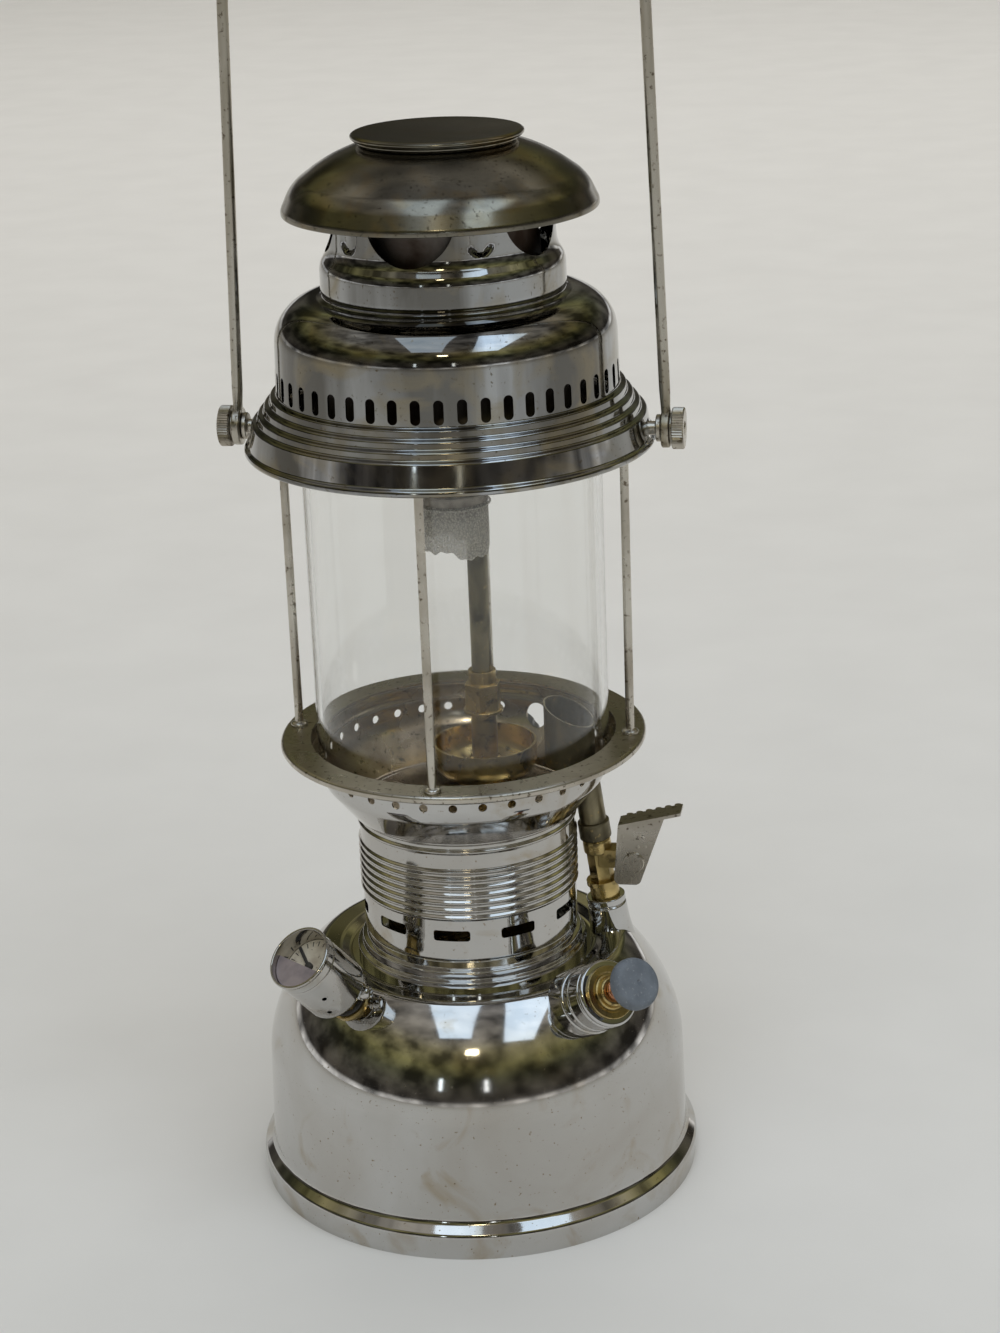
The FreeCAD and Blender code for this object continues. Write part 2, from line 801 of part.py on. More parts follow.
def valve_body():
    plate = cylinder(BASE_PLATE_R, COLUMN_Z, COLUMN_Z + BASE_PLATE_T)
    post = cylinder(POST_R, COLUMN_Z, COLLAR_Z, GEN_X, GEN_Y)
    stem = cylinder(STEM_R, COLLAR_Z, STEM_Z, GEN_X, GEN_Y)
    core = cylinder(CORE_R, COLUMN_Z - OVERRUN, STEM_Z + OVERRUN, GEN_X, GEN_Y)
    seat = Vector(GEN_X, GEN_Y, CONTROL_Z)
    side = across(SPINDLE_R + RUN_FIT, seat, Vector(0, 1, 0), POST_R * 2)
    return joined([plate, post, stem]).cut([core, side])


def control_gland():
    gland = hexagon(GLAND_R, 0, GLAND_L)
    gland = gland.cut(cylinder(SPINDLE_R + RUN_FIT, -OVERRUN, GLAND_L + OVERRUN))
    gland.rotate(Vector(0, 0, 0), Vector(1, 0, 0), -90)
    gland.translate(Vector(GEN_X, GEN_Y + POST_R - BEND_SMALL, CONTROL_Z))
    post = cylinder(POST_R, CONTROL_Z - GLAND_R - OVERRUN, CONTROL_Z + GLAND_R + OVERRUN, GEN_X, GEN_Y)
    return gland.cut(post)


def control_spindle():
    start = Vector(GEN_X, GEN_Y + CORE_R, CONTROL_Z)
    return across(SPINDLE_R, start, Vector(0, 1, 0), WHEEL_OUT - GEN_Y - CORE_R)


def control_wheel():
    outline = [
        (SPINDLE_R, -WHEEL_W),
        (WHEEL_HUB_R, -WHEEL_W, BEND_SMALL),
        (WHEEL_HUB_R, 0),
        (WHEEL_R, 0, BEND_FOOT),
        (WHEEL_R, WHEEL_W, BEND_FOOT),
        (0, WHEEL_W),
        (0, 0),
        (SPINDLE_R, 0),
    ]
    wheel = turned(outline)
    wheel.rotate(Vector(0, 0, 0), Vector(1, 0, 0), -90)
    wheel.translate(Vector(GEN_X, WHEEL_OUT, CONTROL_Z))
    return wheel


def needle_rod():
    low = CONTROL_Z + SPINDLE_R + NEEDLE_PLAY
    high = GEN_TOP_Z - NEEDLE_PLAY - NEEDLE_LIFT
    rod = cylinder(NEEDLE_ROD_R, low, high, GEN_X, GEN_Y)
    needle = cylinder(NEEDLE_R, high, high + NEEDLE_LEN + NEEDLE_LIFT, GEN_X, GEN_Y)
    return joined([rod, needle])


def spirit_cup():
    floor = BOWL_Z + CUP_FOOT_H
    path = [
        (STEM_R, floor),
        (CUP_R - CUP_BEND, floor, CUP_BEND),
        (CUP_R, floor + CUP_BEND, CUP_BEND),
        (CUP_R, floor + CUP_H),
    ]
    cup = spun(path, CUP_SHEET)
    foot = tube(CUP_FOOT_R, STEM_R, BOWL_Z, floor)
    hub = turned([
        (STEM_R, floor),
        (CUP_HUB_R, floor),
        (CUP_HUB_R, floor + CUP_SHEET),
        (STEM_R + CUP_SHEET, floor + CUP_HUB_H),
        (STEM_R, floor + CUP_HUB_H),
    ])
    cup = joined([cup, foot, hub])
    cup.translate(Vector(GEN_X, GEN_Y, 0))
    return cup


def generator_ring():
    ring = tube(GEN_RING_R, NEEDLE_ROD_R + FREE_GAP, STEM_Z, STEM_Z + GEN_RING_T)
    ring.translate(Vector(GEN_X, GEN_Y, 0))
    return ring


def generator_nut():
    low = STEM_Z + GEN_RING_T
    nut = hexagon(GEN_NUT_R, low, low + GEN_NUT_H * 2 / 3)
    barrel = cylinder(GEN_TUBE_R + 2 * SHEET, low, low + GEN_NUT_H)
    nut = joined([nut, barrel]).cut(cylinder(GEN_TUBE_R, low - OVERRUN, low + GEN_NUT_H + OVERRUN))
    nut.translate(Vector(GEN_X, GEN_Y, 0))
    return nut


def generator_tube():
    low = STEM_Z + GEN_RING_T
    pipe = cylinder(GEN_TUBE_R, low, GEN_TOP_Z, GEN_X, GEN_Y)
    loop = roll(math.hypot(GEN_X, GEN_Y), CAGE_Z - LOOP_DROP, LOOP_TUBE_R)
    bore = cylinder(NEEDLE_ROD_R + FREE_GAP, low - OVERRUN, GEN_TOP_Z + OVERRUN, GEN_X, GEN_Y)
    return joined([pipe, loop]).cut(bore)


def jet():
    outline = [
        (NEEDLE_R + RUN_FIT, GEN_TOP_Z),
        (JET_R, GEN_TOP_Z),
        (JET_R, GEN_TOP_Z + JET_H / 2),
        (JET_TIP_R, GEN_TOP_Z + JET_H),
        (NEEDLE_R + RUN_FIT, GEN_TOP_Z + JET_H),
    ]
    body = turned(outline)
    body.translate(Vector(GEN_X, GEN_Y, 0))
    return body


# Casing.

def collar_band():
    outline = [(COLLAR_R, NECK_Z)]
    ribs = [NECK_Z + RIB_FIRST + RIB_PITCH * count for count in range(RIB_COUNT)]
    beads = [COLLAR_Z - BEAD_GAP - RIB_PROUD, COLLAR_Z - RIB_PROUD]
    for height in ribs + beads:
        outline.append((COLLAR_R, height - RIB_PROUD))
        outline.append((COLLAR_R + RIB_PROUD, height, RIB_PROUD))
        outline.append((COLLAR_R, height + RIB_PROUD))
    inside = COLLAR_R - SHEET
    outline += [(inside, COLLAR_Z), (inside, NECK_Z + SHEET), (PICKUP_R, NECK_Z + SHEET)]
    outline.append((PICKUP_R, NECK_Z))
    return turned(outline)


def ribbed_collar():
    cuts = []
    for index in range(SLOT_COUNT):
        slot = Part.makeBox(SLOT_W, 2 * (SHEET + OVERRUN), SLOT_H)
        slot.translate(Vector(-SLOT_W / 2, -COLLAR_R - OVERRUN, NECK_Z + SLOT_RISE))
        slot.rotate(Vector(0, 0, 0), UP, 360 / SLOT_COUNT * index)
        cuts.append(slot)
    cuts.append(cylinder(PICKUP_R, NECK_Z - OVERRUN, COLUMN_Z + OVERRUN, GEN_X, GEN_Y))
    start = Vector(GEN_X, GEN_Y, CONTROL_Z)
    cuts.append(across(SPINDLE_R + GLAND_HOLE, start, Vector(0, 1, 0), COLLAR_R))
    return collar_band().cut(cuts)


def gallery_bowl():
    path = [
        (0, COLLAR_Z),
        (BOWL_FOOT_R, COLLAR_Z, BEND_SMALL),
        (BOWL_WALL_R - BEND_SMALL, COLLAR_Z + BOWL_CONE_H, BOWL_BEND),
        (BOWL_WALL_R, STEP_Z, BEND_SMALL),
        (RING_IN, STEP_Z, BEND_SMALL),
        (RING_IN, BRIM_Z, BEND_SMALL),
        (RING_IN + BRIM_OUT, BRIM_Z),
    ]
    bowl = spun(path, SHEET)
    stem_hole = cylinder(STEM_R, COLLAR_Z - OVERRUN, BOWL_Z + OVERRUN, GEN_X, GEN_Y)
    entry = placed(cylinder(TORCH_TUBE_R, TORCH_BODY_H, torch_tube_end() + OVERRUN), TORCH)
    return bowl.cut(air_holes() + [stem_hole, entry])


def air_holes():
    """Cutters for the small holes round the bowl, and for the one that a match goes through."""
    step = 360 / AIR_HOLE_COUNT
    light_azimuth = step * LIGHT_HOLE_STEPS
    inside = BOWL_WALL_R - BOWL_BEND
    light_start = around(inside, light_azimuth, STEP_Z - LIGHT_HOLE_DROP)
    cuts = [across(LIGHT_HOLE_D / 2, light_start, around(1, light_azimuth, 0), 2 * BOWL_BEND)]
    for index in range(AIR_HOLE_COUNT):
        azimuth = step * (index + 0.5)
        apart = math.radians(abs(azimuth - light_azimuth)) * BOWL_WALL_R
        if apart < (LIGHT_HOLE_D + AIR_HOLE_D) / 2 + SHEET:
            continue
        start = around(inside, azimuth, STEP_Z - AIR_HOLE_DROP)
        cuts.append(across(AIR_HOLE_D / 2, start, around(1, azimuth, 0), 2 * BOWL_BEND))
    return cuts


def gallery_ring():
    ring = tube(RING_R - RING_ROLL_R, RING_IN - SHEET, RING_Z - RING_SHEET, RING_Z)
    edge = roll(RING_R - RING_ROLL_R, RING_Z - RING_ROLL_R, RING_ROLL_R)
    return joined([ring, edge])


def at_rods(make):
    """One solid for each rod's place."""
    solids = []
    for index in range(ROD_COUNT):
        place = around(ROD_PITCH_R, 360 / ROD_COUNT * index, 0)
        solids.append(make(place.x, place.y))
    return Part.makeCompound(solids)


def cage_rods():
    return at_rods(lambda x, y: cylinder(ROD_D / 2, RING_Z, CAGE_Z - CAGE_SHEET, x, y))


def rod_feet():
    return at_rods(lambda x, y: tube(ROD_FOOT_D / 2, ROD_D / 2, RING_Z, RING_Z + ROD_FOOT_H, x, y))


def cage_top_ring():
    outline = [
        (CAGE_RING_IN, CAGE_Z),
        (CAGE_RING_IN, CAGE_Z - CAGE_SHEET),
        (CAGE_RING_OUT - CAGE_SHEET, CAGE_Z - CAGE_SHEET),
        (CAGE_RING_OUT - CAGE_SHEET, CAGE_Z - CAGE_BAND_H),
        (CAGE_RING_OUT, CAGE_Z - CAGE_BAND_H),
        (CAGE_RING_OUT, CAGE_Z, BEND_SMALL),
    ]
    return turned(outline)


def glass_chimney():
    return tube(GLASS_R, GLASS_R - GLASS_WALL, GLASS_Z, GLASS_Z + GLASS_H)


# Bail and its pivots. Each piece is made on the +X side and turned round for the other.

EYE_IN = SHOULDER_IN + SHOULDER_W + FLAT_GAP
WASHER_IN = EYE_IN + EYE_W + FLAT_GAP
NUT_IN = WASHER_IN + WASHER_W + FLAT_GAP
STUD_END = NUT_IN + NUT_W + STUD_PROUD
SIDE = Vector(1, 0, 0)


def disc_x(radius, start, length):
    """A disc on the bail's pivot line."""
    return across(radius, Vector(start, 0, PIVOT_Z), SIDE, length)


def stud_bore(start, length):
    """A running bore for the stud, through a piece on the pivot line."""
    return disc_x(STUD_D / 2 + RUN_FIT, start - OVERRUN, length + 2 * OVERRUN)


def other_side(shape):
    """The same piece on the -X side."""
    turned_round = shape.copy()
    turned_round.rotate(Vector(0, 0, 0), UP, 180)
    return turned_round


def pivot_studs():
    start = CAGE_RING_OUT - CAGE_SHEET / 2
    shank = disc_x(STUD_D / 2, start, STUD_END - start)
    stud = joined([shank, disc_x(SHOULDER_D / 2, SHOULDER_IN, SHOULDER_W)])
    band = tube(CAGE_RING_OUT, CAGE_RING_IN, CAGE_Z - CAGE_BAND_H, CAGE_Z)
    stud = stud.cut(band)
    return Part.makeCompound([stud, other_side(stud)])


def bail_nut_right():
    return disc_x(NUT_D / 2, NUT_IN, NUT_W).cut(stud_bore(NUT_IN, NUT_W))


def bail_nut_left():
    return other_side(bail_nut_right())


def bail_washers():
    washer = disc_x(WASHER_D / 2, WASHER_IN, WASHER_W).cut(stud_bore(WASHER_IN, WASHER_W))
    return Part.makeCompound([washer, other_side(washer)])


def bail_wire():
    foot_x = EYE_IN + EYE_W / 2
    foot = Vector(foot_x, 0, PIVOT_Z + EYE_NECK)
    bend = Vector(BAIL_TOP_X, 0, PIVOT_Z + BAIL_STRAIGHT)
    along = (bend - foot).normalize()
    centre = Vector(0, 0, bend.z + BAIL_TOP_X * along.x / along.z)
    radius = (bend - centre).Length
    mirrored = Vector(-bend.x, 0, bend.z)
    path = Part.Wire([
        Part.LineSegment(foot, bend).toShape(),
        Part.Arc(bend, centre + UP * radius, mirrored).toShape(),
        Part.LineSegment(mirrored, Vector(-foot.x, 0, foot.z)).toShape(),
    ])
    ring = Part.Wire([Part.makeCircle(WIRE_D / 2, foot, along)])
    wire = path.makePipeShell([ring], True, True)
    eye = disc_x(EYE_D / 2, EYE_IN, EYE_W)
    bail = joined([Part.Solid(wire), eye, other_side(eye)])
    hole = stud_bore(EYE_IN, EYE_W)
    side_space = disc_x(EYE_D / 2, EYE_IN + EYE_W, EYE_W)
    inner_space = disc_x(EYE_D / 2, EYE_IN - EYE_W, EYE_W)
    cuts = [hole, side_space, inner_space]
    return bail.cut(cuts + [other_side(shape) for shape in cuts])


# Hood.

def hood_path():
    path = [(RIM_R + HOOD_SHEET / 2, HOOD_Z - RIM_DROP)]
    radius, height = SKIRT_R, HOOD_Z + SKIRT_TOP
    for step in range(STEP_COUNT):
        path.append((radius, height, BEND_SMALL))
        path.append((radius - STEP_IN + STEP_DRAFT, height + STEP_DRAFT, BEND_SMALL))
        radius -= STEP_IN
        height += STEP_H
    path.append((BELL_R, HOOD_Z + BELL_TOP, BELL_BEND, DOME_SHARE))
    path.append((WAIST_R, HOOD_Z + WAIST_TOP, BEND_SMALL))
    groove = WAIST_R - GROOVE_DEPTH
    path.append((groove, HOOD_Z + WAIST_TOP + GROOVE_H, BEND_SMALL / 2))
    path.append((groove + BAND_PROUD, HOOD_Z + BAND_LOW, BEND_SMALL))
    path.append((groove + BAND_PROUD, HOOD_Z + BAND_TOP, BAND_BEND))
    path.append((NECK_FOOT_R, HOOD_Z + NECK_FOOT, BAND_BEND))
    return path


def hood_shell():
    top_radius = NECK_TOP_R - CAP_SHEET
    share = (CAP_TOP_R - top_radius) / (CAP_TOP_R - CAP_MOUTH_R)
    top = HOOD_Z + CAP_TOP + (CAP_MOUTH - CAP_TOP) * share - 2 * CAP_SHEET
    shell = spun(hood_path() + [(NECK_TOP_R, top)], HOOD_SHEET)
    shell = joined([shell, roll(RIM_R, HOOD_Z - RIM_DROP, RIM_ROLL_R)])
    return shell.cut(hood_slots() + hood_windows() + stud_notches())


def hood_slots():
    cuts = []
    for index in range(HOOD_SLOT_COUNT):
        azimuth = 360 / HOOD_SLOT_COUNT * index
        radius = HOOD_SLOT_W / 2
        low = HOOD_Z + HOOD_SLOT_RISE + radius
        high = HOOD_Z + HOOD_SLOT_RISE + HOOD_SLOT_H - radius
        start = around(BELL_R - 4 * HOOD_SHEET, azimuth, 0)
        outward = around(1, azimuth, 0)
        length = 8 * HOOD_SHEET
        box = Part.makeBox(HOOD_SLOT_W, length, high - low, Vector(-radius, -BELL_R - 4 * HOOD_SHEET, low))
        box.rotate(Vector(0, 0, 0), UP, azimuth)
        ends = [across(radius, start + UP * level, outward, length) for level in (low, high)]
        cuts.append(box.fuse(ends))
    return cuts


def hood_windows():
    cuts = []
    for index in range(WINDOW_COUNT):
        azimuth = WINDOW_AZ + 360 / WINDOW_COUNT * index
        start = around(NECK_TOP_R - WINDOW_R / 2, azimuth, HOOD_Z + WINDOW_RISE)
        cuts.append(across(WINDOW_R, start, around(1, azimuth, 0), WINDOW_R))
    return cuts


def stud_notches():
    low = HOOD_Z - RIM_DROP - 2 * RIM_ROLL_R
    high = PIVOT_Z + NOTCH_H
    reach = RIM_R + 2 * RIM_ROLL_R
    box = Part.makeBox(reach - CAGE_RING_OUT, NOTCH_W, high - low, Vector(CAGE_RING_OUT, -NOTCH_W / 2, low))
    return [box, other_side(box)]


def hood_cap():
    path = [
        (CAP_R, HOOD_Z + CAP_EDGE),
        (CAP_SIDE_R, HOOD_Z + CAP_SIDE, CAP_SIDE_BEND),
        (CAP_TOP_R, HOOD_Z + CAP_TOP, CAP_TOP_BEND),
        (CAP_MOUTH_R, HOOD_Z + CAP_MOUTH),
    ]
    edge = roll(CAP_R - CAP_ROLL_R, HOOD_Z + CAP_EDGE, CAP_ROLL_R)
    return joined([spun(path, CAP_SHEET), edge])


def hood_lid():
    low = HOOD_Z + CAP_MOUTH - CAP_SHEET
    groove = HOOD_Z + CAP_MOUTH + LID_GROOVE
    top = HOOD_Z + CAP_MOUTH + LID_H
    middle = (groove + top) / 2
    outline = [
        (0, top - CAP_SHEET),
        (CAP_MOUTH_R - CAP_SHEET, top - CAP_SHEET),
        (CAP_MOUTH_R - CAP_SHEET, low),
        (CAP_MOUTH_R, low),
        (CAP_MOUTH_R, HOOD_Z + CAP_MOUTH),
        (LID_SEAT_R, HOOD_Z + CAP_MOUTH),
        (LID_SEAT_R, groove, BEND_SMALL / 2),
        (LID_R - BEND_SMALL, groove, BEND_SMALL / 2),
        (LID_R, middle, BEND_SMALL),
        (LID_R - BEND_SMALL, top, BEND_SMALL),
        (0, top),
    ]
    return turned(outline).cut(hood_cap())


def inner_chamber():
    path = [
        (SKIRT_R - HOOD_SHEET - STEP_DRAFT, CHAMBER_Z),
        (CHAMBER_BASE_R, CHAMBER_Z, BEND_FOOT),
        (CHAMBER_CONE_R, CHAMBER_Z + CHAMBER_CONE, BELL_BEND),
        (CHAMBER_TOP_R, CHAMBER_Z + CHAMBER_TOP),
    ]
    return spun(path, -CHAMBER_SHEET)


def burner_bracket():
    half = PIPE_R + BRACKET_LAND
    bar = Part.makeBox(2 * BRACKET_HALF, 2 * half, BRACKET_T)
    bar.translate(Vector(-BRACKET_HALF, -half, CHAMBER_Z - BRACKET_T))
    return bar.cut(cylinder(PIPE_R, CAGE_Z - PIPE_TOP, CAGE_Z + PIPE_TOP))


def burner_pipe():
    low = CAGE_Z - PIPE_BOTTOM
    high = CAGE_Z + PIPE_TOP
    return tube(PIPE_R, PIPE_R - PIPE_WALL, low, high)


def mixing_tube():
    span = math.hypot(GEN_X, GEN_Y)
    bend_z = CAGE_Z + MIX_RISE
    solids = []
    for radius in (MIX_R, MIX_R - MIX_WALL):
        disc = Part.Face(Part.Wire([Part.makeCircle(radius, Vector(0, 0, bend_z), UP)]))
        arch = disc.revolve(Vector(span / 2, 0, bend_z), Vector(0, 1, 0), 180)
        inlet = cylinder(radius, CAGE_Z + MIX_MOUTH, bend_z, span, 0)
        outlet = cylinder(radius, CAGE_Z + PIPE_TOP, bend_z)
        solids.append(arch.fuse([inlet, outlet]))
    pipe = solids[0].cut(solids[1])
    pipe.rotate(Vector(0, 0, 0), UP, math.degrees(math.atan2(GEN_Y, GEN_X)))
    return pipe


def nozzle():
    high = NOZZLE_Z + NOZZLE_H
    groove = NOZZLE_R - 2 * TIE_R
    outline = [
        (PIPE_R, high),
        (PIPE_R, NOZZLE_Z + NOZZLE_GRIP),
        (PIPE_R - PIPE_WALL, NOZZLE_Z + NOZZLE_GRIP),
        (PIPE_R - PIPE_WALL, NOZZLE_Z),
        (NOZZLE_R, NOZZLE_Z, BEND_SMALL),
        (NOZZLE_R, high - TIE_DROP - 2 * TIE_R),
        (groove, high - TIE_DROP),
        (NOZZLE_R, high - TIE_DROP + 2 * TIE_R),
        (NOZZLE_R, high, BEND_SMALL),
    ]
    return turned(outline)


def mantle_top():
    return NOZZLE_Z + NOZZLE_H - TIE_DROP + 2 * TIE_R


def mantle():
    high = mantle_top()
    sleeve = tube(NOZZLE_R + MANTLE_SHEET, NOZZLE_R, high - MANTLE_H, high)
    tear = Part.makeBox(4 * NOZZLE_R, 4 * NOZZLE_R, MANTLE_H)
    tear.translate(Vector(-2 * NOZZLE_R, -2 * NOZZLE_R, -MANTLE_H))
    tear.rotate(Vector(0, 0, 0), Vector(0, 1, 0), TEAR_SLANT)
    tear.translate(Vector(0, 0, high - MANTLE_H + NOZZLE_R / 4))
    return sleeve.cut(tear)


def mantle_tie():
    return roll(NOZZLE_R + MANTLE_SHEET + TIE_R, mantle_top() - 2 * TIE_R, TIE_R)


# Torch, in its own leaning frame.

def torch_levels():
    """The heights along the torch's axis where its stacked pieces begin."""
    levels = [TORCH_BOSS_H + TORCH_CHROME_H]
    for height in (TORCH_BODY_H, TORCH_FLANGE_T, TORCH_HEX_H, TORCH_NUT_H, TORCH_COLLAR_H):
        levels.append(levels[-1] + height)
    return levels


def torch_tube_end():
    rise = COLLAR_Z + FLAME_LOW + TORCH_TUBE_IN - crown_height(TORCH_R)
    return rise / math.sin(math.radians(TORCH_LEAN))


def torch_boss():
    top = TORCH_BOSS_H + TORCH_CHROME_H
    outline = [
        (PICKUP_R, -TORCH_SINK),
        (TORCH_BOSS_R, -TORCH_SINK),
        (TORCH_BOSS_MID_R, 0, TORCH_FLARE),
        (TORCH_BOSS_TOP_R, TORCH_BOSS_H, BEND_SMALL / 2),
        (TORCH_BOSS_TOP_R - BEND_SMALL, TORCH_BOSS_H + BEND_SMALL / 2),
        (TORCH_BOSS_TOP_R, TORCH_BOSS_H + BEND_SMALL, BEND_SMALL / 2),
        (TORCH_BOSS_TOP_R, top, BEND_SMALL / 2),
        (PICKUP_R, top),
    ]
    cone = placed(turned(outline), TORCH)
    low = FOOT_H + FOOT_STEP
    inside_tank = turned([
        (0, low),
        (WALL_R, low),
        (SHOULDER_R, SHOULDER_Z, SHOULDER_BEND, DOME_SHARE),
        (CROWN_R, CROWN_Z),
        (0, CROWN_Z),
    ])
    return cone.cut([inside_tank, cylinder(NECK_R, SEAT_Z, NECK_Z)])


def torch_body():
    low, shelf, hex_low, hex_high = torch_levels()[:4]
    stack = joined([
        cylinder(TORCH_BODY_R, low, shelf),
        cylinder(TORCH_FLANGE_R, shelf, hex_low),
        hexagon(TORCH_HEX_R, hex_low, hex_high),
    ])
    stack = placed(stack, TORCH)
    pivot = lever_pivot()
    root = TORCH.multVec(Vector(0, 0, (hex_low + hex_high) / 2))
    depth = pivot.y + LEVER_BACK + LEVER_T
    arm = Part.makeBox(pivot.x - root.x, ARM_D, 2 * ARM_HALF, Vector(root.x, depth, pivot.z - ARM_HALF))
    knuckle = across(ARM_HALF, Vector(pivot.x, depth, pivot.z), Vector(0, 1, 0), ARM_D)
    above = placed(cylinder(TORCH_NUT_R, hex_high, hex_high + TORCH_NUT_H), TORCH)
    start = Vector(pivot.x, depth - OVERRUN, pivot.z)
    rivet_hole = across(RIVET_R, start, Vector(0, 1, 0), ARM_D + 2 * OVERRUN)
    return joined([stack, arm, knuckle]).cut([above, rivet_hole])


def torch_union_nut():
    low, high = torch_levels()[3:5]
    return placed(tube(TORCH_NUT_R, TORCH_SPIGOT_R, low, high), TORCH)


def torch_tube():
    low, shelf, top = torch_levels()[3:6]
    end = torch_tube_end()
    inside = TORCH_TUBE_R - TORCH_TUBE_WALL
    outline = [
        (TORCH_BORE_R, low),
        (TORCH_SPIGOT_R, low),
        (TORCH_SPIGOT_R, shelf),
        (TORCH_COLLAR_R, shelf),
        (TORCH_COLLAR_R, top, TORCH_COLLAR_R - TORCH_TUBE_R),
        (TORCH_TUBE_R, top),
        (TORCH_TUBE_R, end),
        (inside, end),
        (inside, top),
        (TORCH_BORE_R, top),
    ]
    return placed(turned(outline), TORCH)


def torch_flame_tube():
    low = COLLAR_Z + FLAME_LOW
    high = low + FLAME_HIGH
    place = around(FLAME_AXIS_R, TORCH_AZ, 0)
    cup = cylinder(FLAME_R, low, high + FLAME_R, place.x, place.y)
    inside = cylinder(FLAME_R - FLAME_SHEET, low + FLAME_SHEET, high + 2 * FLAME_R, place.x, place.y)
    slope = Part.makeBox(4 * FLAME_R, 4 * FLAME_R, 4 * FLAME_R, Vector(-2 * FLAME_R, -2 * FLAME_R, 0))
    slope.rotate(Vector(0, 0, 0), Vector(0, 1, 0), -FLAME_SLANT)
    slope.rotate(Vector(0, 0, 0), UP, math.degrees(math.atan2(GEN_Y - place.y, GEN_X - place.x)))
    slope.translate(Vector(place.x, place.y, high))
    entry = placed(cylinder(TORCH_TUBE_R, TORCH_BODY_H, torch_tube_end() + FLAT_GAP), TORCH)
    return cup.cut([inside, slope, entry])


def lever_pivot():
    """The centre of the lever's pivot, at the front of the torch."""
    base = TORCH.multVec(Vector(0, 0, PIVOT_RISE))
    front = base.y - TORCH_HEX_R - LEVER_BACK - LEVER_T
    return Vector(base.x + PIVOT_OUT, front, base.z)


def torch_lever():
    pivot = lever_pivot()
    left, low = -LEVER_LEFT, -LEVER_DOWN
    slope = math.tan(math.radians(LIP_SLOPE))
    right = left + LEVER_W
    end = right + LIP_OUT
    plate = section([
        (left, LEVER_UP),
        (left - LEVER_SWEEP, low, LEVER_BEND),
        (left - LEVER_SWEEP + LEVER_FOOT_W, low, LEVER_BEND),
        (right, LEVER_UP + LEVER_W * slope),
    ]).extrude(Vector(0, LEVER_T, 0))
    lip = section([
        (left, LEVER_UP - LEVER_T),
        (end, LEVER_UP - LEVER_T + (end - left) * slope),
        (end, LEVER_UP + (end - left) * slope),
        (left, LEVER_UP),
    ]).extrude(Vector(0, LIP_DEPTH, 0))
    hole = across(RIVET_R + RUN_FIT, Vector(0, -OVERRUN, 0), Vector(0, 1, 0), LEVER_T + 2 * OVERRUN)
    lever = joined([plate, lip] + lip_teeth(end, slope)).cut(hole)
    lever.translate(pivot)
    return lever


def lip_teeth(end, slope):
    """The rounded teeth along the lip's back edge, for the thumb."""
    teeth = []
    for index in range(TOOTH_COUNT):
        x = end - TOOTH_PITCH * (index + 0.5)
        top = LEVER_UP + (x + LEVER_LEFT) * slope
        teeth.append(Part.makeCylinder(TOOTH_R, LEVER_T, Vector(x, LIP_DEPTH, top - LEVER_T), UP))
    return teeth


def lever_rivet():
    pivot = lever_pivot()
    depth = LEVER_BACK + ARM_D
    axis = Vector(0, 1, 0)
    start = Vector(pivot.x, pivot.y - FLAT_GAP, pivot.z)
    shank = across(RIVET_R, start, axis, depth)
    head = across(RIVET_HEAD_R, start - axis * RIVET_HEAD_T, axis, RIVET_HEAD_T)
    washer_start = Vector(pivot.x, pivot.y + LEVER_T + FLAT_GAP, pivot.z)
    spacer = across(RIVET_HEAD_R / 2 + RIVET_R / 2, washer_start, axis, LEVER_BACK - FLAT_GAP)
    return joined([shank, head, spacer])


PIECES = [
    tank_shell, tank_bottom, tank_neck, pickup_tube,
    pump_barrel, pump_check_valve, pump_cap, pump_bush,
    pump_rod, pump_knob, pump_piston, pump_leather, piston_nut,
    filler_neck, filler_gasket, filler_nut, release_screw,
    gauge_case, gauge_dial, gauge_mask, gauge_pointer,
    valve_body, control_gland, control_spindle, control_wheel, needle_rod,
    spirit_cup, generator_ring, generator_nut, generator_tube, jet,
    ribbed_collar, gallery_bowl, gallery_ring,
    cage_rods, rod_feet, cage_top_ring, glass_chimney,
    pivot_studs, bail_wire, bail_washers, bail_nut_left, bail_nut_right,
    hood_shell, hood_cap, hood_lid, inner_chamber, burner_bracket,
    burner_pipe, mixing_tube, nozzle, mantle, mantle_tie,
    torch_boss, torch_body, torch_union_nut, torch_tube, torch_flame_tube, torch_lever, lever_rivet,
]

os.makedirs("parts", exist_ok=True)
for make in PIECES:
    make().exportStep("parts/" + make.__name__ + ".step")
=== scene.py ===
import bpy
import math
from mathutils import Matrix, Vector


